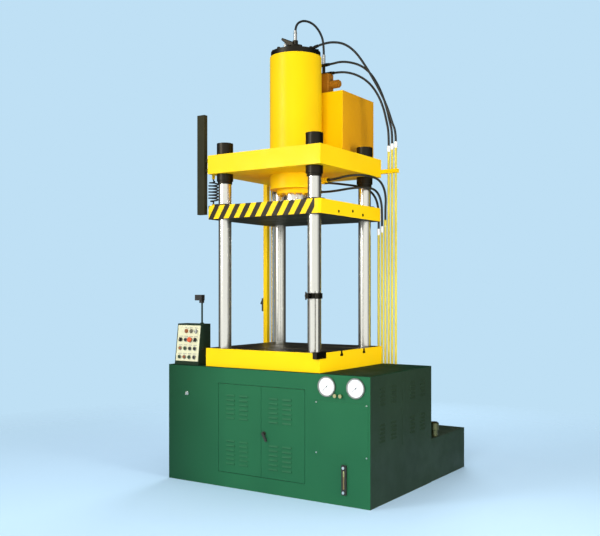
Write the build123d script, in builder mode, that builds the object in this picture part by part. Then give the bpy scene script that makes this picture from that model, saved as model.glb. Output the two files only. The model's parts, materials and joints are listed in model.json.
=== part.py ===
from build123d import *
import math
import os

# Four-column hydraulic press. Millimetres, +Z up, front faces -Y, ram axis at X = Y = 0.
os.makedirs("parts", exist_ok=True)

# Driving dimensions: beams set the width and depth, the cabinet top sets the heights
beam_width = 1026.0
beam_depth = 924.0
cabinet_height = 900.0
table_top = cabinet_height + 140.0
platen_bottom = table_top + 992.0
crown_bottom = table_top + 1342.0

# Driving dimensions: cabinet
cabinet_left = -874.0
cabinet_right = 933.0
cabinet_front = -beam_depth / 2 - 38.0
cabinet_rear = beam_depth / 2 + 29.0
sheet = 3.0
seam = 3.0
running_clearance = 0.05
fit_gap = 0.3

# Driving dimensions: table and columns
table_width = beam_width + 8.0
table_depth = beam_depth + 10.0
table_shift = -8.0
table_height = 260.0
slot_count = 2
slot_pitch = 340.0
slot_mouth = 22.0
slot_depth = 38.0
slot_base_width = 37.0
slot_base_height = 16.0
column_pitch_x = beam_width - 208.0
column_pitch_y = beam_depth - 174.0
column_diameter = 100.0
nut_diameter = 127.0
nut_neck_diameter = 112.0
top_nut_height = 94.0
crown_thickness = 143.0
lower_nut_height = 78.0
bed_nut_height = 105.0
column_end = 12.0
column_recess = 6.0

# Driving dimensions: cylinder, ram and platen
platen_thickness = 105.0
platen_corner = 20.0
stroke = 530.0
ram_diameter = 190.0
ram_flange_diameter = 290.0
ram_flange_thickness = 34.0
bore_diameter = 320.0
cylinder_diameter = 406.0
cylinder_bottom = crown_bottom - 112.0
cylinder_top = crown_bottom + 923.0
gland_diameter = 300.0
gland_height = 35.0
gland_land = 70.0
piston_height = 120.0
piston_above_gland = 20.0
cover_thickness = 42.0
hub_diameter = 120.0
hub_height = 58.0
bush_diameter = 132.0
bush_lip = 12.0
bush_flange = 160.0

# Driving dimensions: tanks and pipes
tank_left = 440.0
tank_rear = 1165.0
tank_height = 332.0
tank_wall = 5.0
tank_gap = 3.5
filler_x = 890.0
filler_y = 639.0
filler_neck = 50.0
filler_height = 45.0
filling_left = -300.0
filling_width = 600.0
filling_front = cylinder_diameter / 2 + 13.0
filling_depth = 519.0
filling_height = 539.0
filling_wall = 6.0
valve_left = 56.0
valve_right = 143.0
valve_y = 300.0
valve_depth = 92.0
valve_height = 163.0
pipe_diameter = 20.0
pipe_bore = 15.0
pipe_row_y = beam_depth / 2 + 15.0
hose_diameter = 18.0
ferrule_diameter = 26.0
ferrule_length = 48.0

# Driving dimensions: doors, console and controls
door_left = -373.0
door_right = 406.0
door_meeting = 25.5
door_bottom = 113.0
door_top = cabinet_height - 122.0
door_skin = 2.5
door_depth = 20.0
hinge_inset_x = 14.0
hinge_inset_y = 8.0
hinge_pin = 8.0
hinge_pin_reach = 15.0
louvre_width = 78.0
louvre_pitch = 34.0
louvre_count = 6
louvre_rise = 9.0
louvre_height = 16.0
louvre_wall = 1.5
console_x = -728.0
console_width = 242.0
console_front = cabinet_front + 39.0
console_rear = console_front + 151.0
console_height = 320.0
console_tilt = 7.2
console_wall = 2.0
panel_thickness = 3.0
panel_width = 228.0
panel_bottom = 28.0
panel_height = 282.0
device_pitch_x = 50.0
device_pitch_y = 68.0
first_row = 59.5
button_diameter = 24.0
bezel_diameter = 33.0
bezel_height = 7.0
button_stand = 5.0
button_travel = 4.0
button_stem = 22.0
stop_diameter = 40.0
stop_travel = 5.0
stalk_x = -660.0
stalk_y = console_rear - 40.0
stalk_diameter = 14.0
stalk_height = 184.0

# Driving dimensions: gauges and small gear on the front
gauge_x = (592.0, 823.0)
gauge_z = cabinet_height - 86.0
gauge_flange = 142.0
gauge_case = 122.0
gauge_depth = 46.0
gauge_bezel = 12.0
gauge_rim = 9.0
gauge_dial_depth = 6.0
needle_length = 44.0
gauge_valve_x = (666.0, 709.0)
gauge_valve_z = cabinet_height - 145.0
knob_diameter = 27.0
knob_height = 13.0
level_x = 733.0
level_bottom = 77.0
level_top = 283.0
level_width = 36.0
access_left = 495.0
access_right = 916.0
access_bottom = 338.0
access_top = cabinet_height - 189.0
access_lap = 20.0
isolator_x = -682.0
isolator_z = cabinet_height - 217.0

table_bottom = table_top - table_height
crown_top = crown_bottom + crown_thickness
platen_top = platen_bottom + platen_thickness
column_bottom = table_bottom - bed_nut_height - column_end
column_top = crown_top + top_nut_height - column_recess
column_radius = column_diameter / 2
shell_top = cabinet_height - sheet
tank_right = cabinet_right - tank_gap
tank_front = cabinet_front + sheet + fit_gap

# Base frame: floor plate and four legs under the bed
base_plate = 12.0
base_right = tank_left - 8.0
base_margin = sheet + 1.0
leg_size = 100.0
leg_wall = 8.0
leg_pitch_x = 540.0
leg_pitch_y = beam_depth - 224.0
base_width = base_right - cabinet_left - base_margin
base_depth = cabinet_rear - cabinet_front - 2 * base_margin
base_centre_x = (base_right + cabinet_left + base_margin) / 2
base_centre_y = (cabinet_rear + cabinet_front) / 2
leg_length = table_bottom - base_plate
rail_height = 80.0
rail_width = 60.0

with BuildPart() as base_frame:
    with BuildSketch():
        with Locations((base_centre_x, base_centre_y)):
            Rectangle(base_width, base_depth)
    extrude(amount=base_plate)
    with BuildSketch(Plane.XY.offset(base_plate)):
        with GridLocations(leg_pitch_x, leg_pitch_y, 2, 2):
            Rectangle(leg_size, leg_size)
            Rectangle(leg_size - 2 * leg_wall, leg_size - 2 * leg_wall, mode=Mode.SUBTRACT)
    extrude(amount=leg_length)
    with BuildSketch(Plane.XY.offset(table_bottom - rail_height)):
        with GridLocations(0, leg_pitch_y, 1, 2):
            Rectangle(leg_pitch_x - leg_size, rail_width)
    extrude(amount=rail_height)
    with BuildSketch(Plane.XY.offset(base_plate)):
        with GridLocations(leg_pitch_x, 0, 2, 1):
            Rectangle(rail_width, leg_pitch_y - leg_size)
    extrude(amount=rail_height)
base_frame.part.label = "base_frame"
export_step(base_frame.part, "parts/base_frame.step")

# Cabinet shell: four welded walls with their openings
cabinet_width = cabinet_right - cabinet_left
cabinet_depth = cabinet_rear - cabinet_front
cabinet_x = (cabinet_left + cabinet_right) / 2
cabinet_y = (cabinet_front + cabinet_rear) / 2
front_plane = Plane(origin=(0, cabinet_front, 0), x_dir=(1, 0, 0), z_dir=(0, -1, 0))
rear_plane = Plane(origin=(0, cabinet_rear, 0), x_dir=(-1, 0, 0), z_dir=(0, 1, 0))
hinge_left_x = door_left + hinge_inset_x
hinge_right_x = door_right - hinge_inset_x
hinge_y = cabinet_front + hinge_inset_y
lug_size = 22.0
lug_height = 12.0
stem_hole = 7.0

with BuildPart() as cabinet_shell:
    with BuildSketch():
        with Locations((cabinet_x, cabinet_y)):
            Rectangle(cabinet_width, cabinet_depth)
            Rectangle(cabinet_width - 2 * sheet, cabinet_depth - 2 * sheet, mode=Mode.SUBTRACT)
    extrude(amount=shell_top)
    with BuildSketch(front_plane):
        with Locations(((door_left + door_right) / 2, (door_bottom + door_top) / 2)):
            Rectangle(door_right - door_left + 2 * seam, door_top - door_bottom + 2 * seam)
        with Locations(((access_left + access_right) / 2, (access_bottom + access_top) / 2)):
            Rectangle(access_right - access_left - 2 * access_lap, access_top - access_bottom - 2 * access_lap)
        with Locations(*[(x, gauge_z) for x in gauge_x]):
            Circle(gauge_case / 2 + fit_gap)
        with Locations(*[(x, gauge_valve_z) for x in gauge_valve_x]):
            Circle(stem_hole)
        with Locations((level_x, level_bottom + level_width / 2), (level_x, level_top - level_width / 2)):
            Circle(stem_hole)
        with Locations((isolator_x, isolator_z)):
            Circle(stem_hole + fit_gap)
    extrude(amount=-sheet, mode=Mode.SUBTRACT)
    with BuildSketch(rear_plane):
        with Locations((-(tank_left + tank_right) / 2, (tank_height + fit_gap) / 2)):
            Rectangle(tank_right - tank_left + 2 * fit_gap, tank_height + fit_gap)
    extrude(amount=-sheet, mode=Mode.SUBTRACT)
    for lug_z in (door_bottom - seam - lug_height, door_top + seam):
        with BuildSketch(Plane.XY.offset(lug_z)):
            with Locations((hinge_left_x, cabinet_front + sheet + lug_size / 2),
                           (hinge_right_x, cabinet_front + sheet + lug_size / 2)):
                Rectangle(lug_size, lug_size)
            with Locations((hinge_left_x, hinge_y), (hinge_right_x, hinge_y)):
                Circle(hinge_pin / 2 + running_clearance, mode=Mode.SUBTRACT)
        extrude(amount=lug_height)
cabinet_shell.part.label = "cabinet_shell"
export_step(cabinet_shell.part, "parts/cabinet_shell.step")

# Cabinet top, cut out round the bed and drilled for the pipe row
tall_pipe_x = (572.0, 602.0, 634.0)
tall_pipe_top = (crown_bottom + 251.0, crown_bottom + 266.0, crown_bottom + 280.0)
short_pipe_x = (482.0, 512.0, 542.0)
short_pipe_top = (crown_bottom - 406.0, crown_bottom - 387.0, crown_bottom - 337.0)
pipe_xs = short_pipe_x + tall_pipe_x
pipe_tops = short_pipe_top + tall_pipe_top
pipe_radius = pipe_diameter / 2
table_clearance = 1.0

with BuildPart() as cabinet_top:
    with BuildSketch(Plane.XY.offset(shell_top)):
        with Locations((cabinet_x, cabinet_y)):
            Rectangle(cabinet_width, cabinet_depth)
        with Locations((0, table_shift)):
            Rectangle(table_width + 2 * table_clearance, table_depth + 2 * table_clearance, mode=Mode.SUBTRACT)
        with Locations(*[(x, pipe_row_y) for x in pipe_xs]):
            Circle(pipe_radius + fit_gap, mode=Mode.SUBTRACT)
    extrude(amount=sheet)
cabinet_top.part.label = "cabinet_top"
export_step(cabinet_top.part, "parts/cabinet_top.step")

# Oil tank: long low box running back from the front wall, with filler neck and filter head
tank_width = tank_right - tank_left
tank_length = tank_rear - tank_front
tank_x = (tank_left + tank_right) / 2
tank_y = (tank_front + tank_rear) / 2
filter_x = 835.0
filter_z = 92.0
filter_diameter = 147.0
filter_length = 85.0
filter_step = 18.0
neck_wall = 4.0
neck_height = 20.0

with BuildPart() as oil_tank:
    with BuildSketch():
        with Locations((tank_x, tank_y)):
            Rectangle(tank_width, tank_length)
    extrude(amount=tank_height)
    with BuildSketch(Plane.XY.offset(tank_wall)):
        with Locations((tank_x, tank_y)):
            Rectangle(tank_width - 2 * tank_wall, tank_length - 2 * tank_wall)
    extrude(amount=tank_height - 2 * tank_wall, mode=Mode.SUBTRACT)
    with BuildSketch(Plane.XY.offset(tank_height)):
        with Locations((filler_x, filler_y)):
            Circle(filler_neck / 2)
    extrude(amount=neck_height)
    with BuildSketch(Plane.XY.offset(tank_height - tank_wall)):
        with Locations((filler_x, filler_y)):
            Circle(filler_neck / 2 - neck_wall)
    extrude(amount=neck_height + tank_wall, mode=Mode.SUBTRACT)
    with BuildSketch(Plane.XZ.offset(-tank_rear)):
        with Locations((filter_x, filter_z)):
            Circle(filter_diameter / 2)
    extrude(amount=-filter_step)
    with BuildSketch(Plane.XZ.offset(-tank_rear - filter_step)):
        with Locations((filter_x, filter_z)):
            Circle(filter_diameter / 2 - filter_step / 2)
    extrude(amount=-(filter_length - filter_step), taper=14)
oil_tank.part.label = "oil_tank"
export_step(oil_tank.part, "parts/oil_tank.step")

# Filler breather cap on the tank neck
with BuildPart() as breather_cap:
    with BuildSketch(Plane.XZ.offset(-filler_y)):
        with BuildLine():
            Polyline(
                (filler_x, tank_height + neck_height + fit_gap),
                (filler_x + filler_neck / 2 + fit_gap, tank_height + neck_height + fit_gap),
                (filler_x + filler_neck / 2 + fit_gap, tank_height + fit_gap),
                (filler_x + filler_neck / 2 + neck_wall, tank_height + fit_gap),
                (filler_x + filler_neck / 2 + neck_wall, tank_height + filler_height),
                (filler_x + filler_neck / 2 + 3 * neck_wall, tank_height + filler_height + neck_wall),
                (filler_x + filler_neck / 2 + 3 * neck_wall, tank_height + 2.3 * filler_height),
                (filler_x + filler_neck / 2, tank_height + 2.5 * filler_height),
                (filler_x, tank_height + 2.5 * filler_height),
                close=True,
            )
        make_face()
    revolve(axis=Axis((filler_x, filler_y, 0), (0, 0, 1)))
breather_cap.part.label = "breather_cap"
export_step(breather_cap.part, "parts/breather_cap.step")

# Bed table with T-slots and column bores
pocket_depth = 150.0
pocket_wall = 90.0

with BuildPart() as bed_table:
    with BuildSketch(Plane.XY.offset(table_bottom)):
        with Locations((0, table_shift)):
            Rectangle(table_width, table_depth)
    extrude(amount=table_height)
    with BuildSketch(Plane.XY.offset(table_bottom)):
        Rectangle(column_pitch_x - 2 * pocket_wall, table_depth - 2 * pocket_wall)
    extrude(amount=pocket_depth, mode=Mode.SUBTRACT)
    with BuildSketch(Plane.XY.offset(table_bottom)):
        with GridLocations(column_pitch_x, column_pitch_y, 2, 2):
            Circle(column_radius + running_clearance)
    extrude(amount=table_height, mode=Mode.SUBTRACT)
    with BuildSketch(Plane.XY.offset(table_top - slot_depth)):
        with GridLocations(0, slot_pitch, 1, slot_count):
            Rectangle(table_width, slot_mouth)
    extrude(amount=slot_depth, mode=Mode.SUBTRACT)
    with BuildSketch(Plane.XY.offset(table_top - slot_depth)):
        with GridLocations(0, slot_pitch, 1, slot_count):
            Rectangle(table_width, slot_base_width)
    extrude(amount=slot_base_height, mode=Mode.SUBTRACT)
bed_table.part.label = "bed_table"
export_step(bed_table.part, "parts/bed_table.step")

# Columns with chamfered ends
with BuildPart() as columns:
    with BuildSketch(Plane.XY.offset(column_bottom)):
        with GridLocations(column_pitch_x, column_pitch_y, 2, 2):
            Circle(column_radius)
    extrude(amount=column_top - column_bottom)
    chamfer(columns.edges().group_by(Axis.Z)[-1] + columns.edges().group_by(Axis.Z)[0], length=4)
columns.part.label = "columns"
export_step(columns.part, "parts/columns.step")

# Round slotted nuts: under the bed, under the crown and on the crown
spanner_slot = 14.0
spanner_depth = 5.0
nut_neck_height = 22.0
nut_levels = (
    (table_bottom - bed_nut_height, bed_nut_height),
    (crown_bottom - lower_nut_height + nut_neck_height, lower_nut_height - nut_neck_height),
    (crown_top, top_nut_height),
)

with BuildPart() as column_nuts:
    for nut_z, nut_height in nut_levels:
        with BuildSketch(Plane.XY.offset(nut_z)):
            with GridLocations(column_pitch_x, column_pitch_y, 2, 2):
                Circle(nut_diameter / 2)
                with PolarLocations(nut_diameter / 2, 4):
                    Rectangle(2 * spanner_depth, spanner_slot, mode=Mode.SUBTRACT)
                Circle(column_radius + running_clearance, mode=Mode.SUBTRACT)
        extrude(amount=nut_height)
    with BuildSketch(Plane.XY.offset(crown_bottom - lower_nut_height)):
        with GridLocations(column_pitch_x, column_pitch_y, 2, 2):
            Circle(nut_neck_diameter / 2)
            Circle(column_radius + running_clearance, mode=Mode.SUBTRACT)
    extrude(amount=nut_neck_height)
column_nuts.part.label = "column_nuts"
export_step(column_nuts.part, "parts/column_nuts.step")

# Crown with its bores and the cord bracket on its left side
cord_x = -beam_width / 2 - 43.0
cord_y = -beam_depth / 2 + 127.0
cord_diameter = 80.0
cord_top = crown_bottom - 22.0
cord_bottom = platen_bottom + 131.0
bracket_width = 30.0
bracket_thickness = 6.0
bracket_reach = beam_width / 2 + cord_x
gland_nut = 24.0
crown_bracket_z = crown_bottom + 14.0
platen_bracket_z = platen_bottom + 88.0

with BuildPart() as crown:
    with BuildSketch(Plane.XY.offset(crown_bottom)):
        Rectangle(beam_width, beam_depth)
    extrude(amount=crown_thickness)
    chamfer(crown.edges().filter_by(Axis.Z), length=3)
    with BuildSketch(Plane.XY.offset(crown_bottom)):
        with GridLocations(column_pitch_x, column_pitch_y, 2, 2):
            Circle(column_radius + running_clearance)
        Circle(cylinder_diameter / 2 + running_clearance)
    extrude(amount=crown_thickness, mode=Mode.SUBTRACT)
    with BuildSketch(Plane.XY.offset(crown_bracket_z)):
        with Locations(((cord_x - beam_width / 2) / 2 - gland_nut / 4, cord_y)):
            Rectangle(-bracket_reach + gland_nut / 2, bracket_width)
    extrude(amount=bracket_thickness)
    with BuildSketch(Plane.XY.offset(cord_top)):
        with Locations((cord_x, cord_y)):
            Circle(gland_nut / 2)
    extrude(amount=crown_bracket_z - cord_top)
crown.part.label = "crown"
export_step(crown.part, "parts/crown.step")

# Cylinder: tube with gland ring, gland bore and three ports
port_diameter = 40.0
right_port_z = crown_bottom - 52.0
right_port_reach = 290.0
rear_port_z = crown_bottom - 37.0
rear_port_angle = 60.0
rear_port_reach = 255.0
gland_port_angle = 25.0
gland_port_reach = 185.0
gland_port_z = cylinder_bottom - gland_height / 2
cylinder_radius = cylinder_diameter / 2
gland_bottom = cylinder_bottom - gland_height
gland_bolts = 12
gland_bolt_circle = 262.0


def port_plane(angle, z, radius):
    """Plane at a radius from the ram axis, facing outwards at an angle."""
    direction = (math.cos(math.radians(angle)), math.sin(math.radians(angle)), 0)
    origin = (radius * direction[0], radius * direction[1], z)
    return Plane(origin=origin, x_dir=(0, 0, 1), z_dir=direction)


with BuildPart() as cylinder:
    with BuildSketch(Plane.XZ):
        with BuildLine():
            Polyline(
                (ram_diameter / 2 + running_clearance, gland_bottom),
                (gland_diameter / 2, gland_bottom),
                (gland_diameter / 2, cylinder_bottom),
                (cylinder_radius, cylinder_bottom),
                (cylinder_radius, cylinder_top),
                (bore_diameter / 2, cylinder_top),
                (bore_diameter / 2, cylinder_bottom + gland_land),
                (ram_diameter / 2 + running_clearance, cylinder_bottom + gland_land),
                close=True,
            )
        make_face()
    revolve(axis=Axis.Z)
    with BuildSketch(port_plane(0, right_port_z, cylinder_radius - 5)):
        Circle(port_diameter / 2)
    extrude(amount=right_port_reach - cylinder_radius + 5)
    with BuildSketch(port_plane(rear_port_angle, rear_port_z, cylinder_radius - 5)):
        Circle(ferrule_diameter / 2)
    extrude(amount=rear_port_reach - cylinder_radius + 5)
    with BuildSketch(port_plane(gland_port_angle, gland_port_z, gland_diameter / 2 - 5)):
        Circle(ferrule_diameter / 2)
    extrude(amount=gland_port_reach - gland_diameter / 2 + 5)
    with BuildSketch(Plane.XY.offset(gland_bottom)):
        with PolarLocations(gland_bolt_circle / 2, gland_bolts):
            RegularPolygon(10, 6)
    extrude(amount=-10)
cylinder.part.label = "cylinder"
export_step(cylinder.part, "parts/cylinder.step")

# Cylinder cover with hub, lever block and two hose unions
cover_bolts = 12
cover_radius = cylinder_radius - 8.0
cover_bolt_circle = 2 * cover_radius - 38.0
hub_top = cylinder_top + cover_thickness + hub_height
union_x = -4.0
union_top = cylinder_top + 195.0
side_union_x = 168.0
side_union_y = 20.0
side_union_z = cylinder_top + 69.0
side_union_run = (22.0, 20.0, 14.0)
lever_length = 112.0
lever_width = 64.0
lever_thickness = 44.0
union_start = (side_union_x, side_union_y, side_union_z)

with BuildPart() as cylinder_head:
    with BuildSketch(Plane.XY.offset(cylinder_top)):
        Circle(cover_radius)
    extrude(amount=cover_thickness)
    with BuildSketch(Plane.XY.offset(cylinder_top + cover_thickness)):
        with PolarLocations(cover_bolt_circle / 2, cover_bolts, start_angle=15):
            RegularPolygon(13, 6)
    extrude(amount=14)
    with BuildSketch(Plane.XY.offset(cylinder_top + cover_thickness)):
        Circle(hub_diameter / 2)
    extrude(amount=hub_height, taper=8)
    with BuildSketch(Plane.XY.offset(hub_top)):
        with Locations((union_x, 0)):
            RegularPolygon(24, 6)
    extrude(amount=40)
    with BuildSketch(Plane.XY.offset(hub_top)):
        with Locations((union_x, 0)):
            Circle(ferrule_diameter / 2)
    extrude(amount=union_top - hub_top)
    with BuildSketch(Plane(origin=(union_x - 6, 0, hub_top + 4), x_dir=(0, 1, 0), z_dir=(-1, 0, 0.4))):
        RectangleRounded(lever_width, lever_thickness, 8)
    extrude(amount=lever_length)
    with BuildSketch(Plane.XY.offset(cylinder_top + cover_thickness)):
        with Locations((side_union_x - side_union_run[0], side_union_y - side_union_run[1])):
            Circle(ferrule_diameter / 2)
    extrude(amount=side_union_z - side_union_run[2] + 8 - cylinder_top - cover_thickness)
    with BuildSketch(Plane(origin=union_start, x_dir=(0, 0, 1), z_dir=side_union_run)):
        Circle(ferrule_diameter / 2 - 2)
    extrude(amount=-Vector(*side_union_run).length)
cylinder_head.part.label = "cylinder_head"
export_step(cylinder_head.part, "parts/cylinder_head.step")

# Ram: one turned piece with foot flange, rod and piston
ram_studs = 12
ram_stud_circle = 250.0
piston_bottom = cylinder_bottom + gland_land + stroke + piston_above_gland
piston_radius = bore_diameter / 2 - running_clearance
ram_radius = ram_diameter / 2

with BuildPart() as ram:
    with BuildSketch(Plane.XZ):
        with BuildLine():
            Polyline(
                (0, platen_top),
                (ram_flange_diameter / 2, platen_top),
                (ram_flange_diameter / 2, platen_top + ram_flange_thickness),
                (ram_radius + 14, platen_top + ram_flange_thickness),
                (ram_radius, platen_top + ram_flange_thickness + 10),
                (ram_radius, piston_bottom),
                (piston_radius, piston_bottom),
                (piston_radius, piston_bottom + piston_height),
                (0, piston_bottom + piston_height),
                close=True,
            )
        make_face()
    revolve(axis=Axis.Z)
    with BuildSketch(Plane.XY.offset(platen_top + ram_flange_thickness)):
        with PolarLocations(ram_stud_circle / 2, ram_studs):
            RegularPolygon(11, 6)
    extrude(amount=14)
ram.part.label = "ram"
export_step(ram.part, "parts/ram.step")

# Platen with rounded corners, guide bush seats and the cord bracket
bush_radius = bush_diameter / 2

with BuildPart() as platen:
    with BuildSketch(Plane.XY.offset(platen_bottom)):
        RectangleRounded(beam_width, beam_depth, platen_corner)
        with GridLocations(column_pitch_x, column_pitch_y, 2, 2):
            Circle(bush_radius - bush_lip, mode=Mode.SUBTRACT)
    extrude(amount=platen_thickness)
    with BuildSketch(Plane.XY.offset(platen_bracket_z)):
        with Locations(((cord_x - beam_width / 2) / 2 - gland_nut / 4, cord_y)):
            Rectangle(-bracket_reach + gland_nut / 2, bracket_width)
    extrude(amount=bracket_thickness)
    with BuildSketch(Plane.XY.offset(platen_bracket_z + bracket_thickness)):
        with Locations((cord_x, cord_y)):
            Circle(gland_nut / 2)
    extrude(amount=cord_bottom - platen_bracket_z - bracket_thickness)
platen.part.label = "platen"
export_step(platen.part, "parts/platen.step")

# Guide bushes: a flanged sleeve at each column
lip_thickness = 10.0

with BuildPart() as guide_bushes:
    with BuildSketch(Plane.XY.offset(platen_bottom)):
        with GridLocations(column_pitch_x, column_pitch_y, 2, 2):
            Circle(bush_radius - bush_lip)
    extrude(amount=platen_thickness)
    with BuildSketch(Plane.XY.offset(platen_top)):
        with GridLocations(column_pitch_x, column_pitch_y, 2, 2):
            Circle(bush_flange / 2)
    extrude(amount=lip_thickness)
    with BuildSketch(Plane.XY.offset(platen_bottom)):
        with GridLocations(column_pitch_x, column_pitch_y, 2, 2):
            Circle(column_radius + running_clearance)
    extrude(amount=platen_thickness + lip_thickness, mode=Mode.SUBTRACT)
guide_bushes.part.label = "guide_bushes"
export_step(guide_bushes.part, "parts/guide_bushes.step")

# Filling tank behind the cylinder
filling_x = filling_left + filling_width / 2
filling_y = filling_front + filling_depth / 2

with BuildPart() as filling_tank:
    with BuildSketch(Plane.XY.offset(crown_top)):
        with Locations((filling_x, filling_y)):
            RectangleRounded(filling_width, filling_depth, 8)
    extrude(amount=filling_height)
    with BuildSketch(Plane.XY.offset(crown_top + filling_wall)):
        with Locations((filling_x, filling_y)):
            Rectangle(filling_width - 2 * filling_wall, filling_depth - 2 * filling_wall)
    extrude(amount=filling_height - 2 * filling_wall, mode=Mode.SUBTRACT)
filling_tank.part.label = "filling_tank"
export_step(filling_tank.part, "parts/filling_tank.step")

# Valve on the filling tank: body, side solenoid, elbow and the tee for two hoses
filling_top = crown_top + filling_height
valve_top = filling_top + valve_height
valve_x = (valve_left + valve_right) / 2
solenoid_end = 227.0
solenoid_z = filling_top + 77.0
solenoid_diameter = 65.0
tee_x = 74.0
tee_z = valve_top + 82.0
tee_reach = 104.0
tee_top = tee_z + 83.0
valve_port_z = valve_top + 7.0
valve_port_x = 149.0

with BuildPart() as tank_valve:
    with BuildSketch(Plane.XY.offset(filling_top)):
        with Locations((valve_x, valve_y)):
            RectangleRounded(valve_right - valve_left + 26, valve_depth + 26, 10)
    extrude(amount=14)
    with BuildSketch(Plane.XY.offset(filling_top + 14)):
        with Locations((valve_x, valve_y)):
            RectangleRounded(valve_right - valve_left, valve_depth, 14)
    extrude(amount=valve_height - 14)
    with BuildSketch(Plane(origin=(valve_right - 5, valve_y, solenoid_z), x_dir=(0, 1, 0), z_dir=(1, 0, 0))):
        Circle(solenoid_diameter / 2)
    extrude(amount=solenoid_end - valve_right - 7)
    with BuildSketch(Plane(origin=(solenoid_end - 14, valve_y, solenoid_z), x_dir=(0, 1, 0), z_dir=(1, 0, 0))):
        Circle(solenoid_diameter / 2 - 8)
    extrude(amount=14)
    with BuildSketch(Plane(origin=(tee_x - 16, valve_y, valve_port_z), x_dir=(0, 1, 0), z_dir=(1, 0, 0))):
        Circle(ferrule_diameter / 2 + 2)
    extrude(amount=valve_port_x - tee_x + 16)
    with BuildSketch(Plane.XY.offset(valve_port_z)):
        with Locations((tee_x, valve_y)):
            Circle(ferrule_diameter / 2)
    extrude(amount=tee_z - valve_port_z)
    with BuildSketch(Plane(origin=(tee_x - 18, valve_y, tee_z), x_dir=(0, 1, 0), z_dir=(1, 0, 0))):
        Circle(ferrule_diameter / 2 + 1)
    extrude(amount=tee_reach - tee_x + 18)
    with BuildSketch(Plane.XY.offset(tee_z)):
        with Locations((tee_x, valve_y)):
            Circle(ferrule_diameter / 2)
    extrude(amount=tee_top - tee_z)
tank_valve.part.label = "tank_valve"
export_step(tank_valve.part, "parts/tank_valve.step")

# Riser pipes: three tall, three short, each ending in a hose ferrule
pipe_foot = table_bottom - 140.0

with BuildPart() as riser_pipes:
    for pipe_x, pipe_top in zip(pipe_xs, pipe_tops):
        with BuildSketch(Plane.XY.offset(pipe_foot)):
            with Locations((pipe_x, pipe_row_y)):
                Circle(pipe_radius)
                Circle(pipe_bore / 2, mode=Mode.SUBTRACT)
        extrude(amount=pipe_top - pipe_foot - ferrule_length)
        with BuildSketch(Plane.XY.offset(pipe_top - ferrule_length)):
            with Locations((pipe_x, pipe_row_y)):
                Circle(ferrule_diameter / 2)
        extrude(amount=ferrule_length)
riser_pipes.part.label = "riser_pipes"
export_step(riser_pipes.part, "parts/riser_pipes.step")

# Pipe clamp: bar on the crown's rear face, wider where it holds the tall pipes
clamp_left = 440.0
clamp_right = tall_pipe_x[2] + 21.0
clamp_z = crown_bottom + 33.0
clamp_height = 31.0
clamp_rear = pipe_row_y + 17.0
clamp_front = pipe_row_y - 23.0
clamp_step = beam_width / 2 + 1.0

with BuildPart() as pipe_clamp:
    with BuildSketch(Plane.XY.offset(clamp_z)):
        with BuildLine():
            Polyline(
                (clamp_left, beam_depth / 2),
                (clamp_step, beam_depth / 2),
                (clamp_step, clamp_front),
                (clamp_right, clamp_front),
                (clamp_right, clamp_rear),
                (clamp_left, clamp_rear),
                close=True,
            )
        make_face()
        with Locations(*[(x, pipe_row_y) for x in tall_pipe_x]):
            Circle(pipe_radius + running_clearance, mode=Mode.SUBTRACT)
    extrude(amount=clamp_height)
pipe_clamp.part.label = "pipe_clamp"
export_step(pipe_clamp.part, "parts/pipe_clamp.step")

# Hoses: straight runs joined by tangent arcs
def port_point(angle, z, radius):
    """Point on the centre line of a port."""
    return tuple(port_plane(angle, z, radius).origin)


def above_pipe(x, top, rise):
    """Point straight above a pipe's ferrule."""
    return (x, pipe_row_y, top + rise)


def from_crown(*points):
    """Points whose last value is measured from the underside of the crown."""
    return [(x, y, crown_bottom + rise) for x, y, rise in points]


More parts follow.
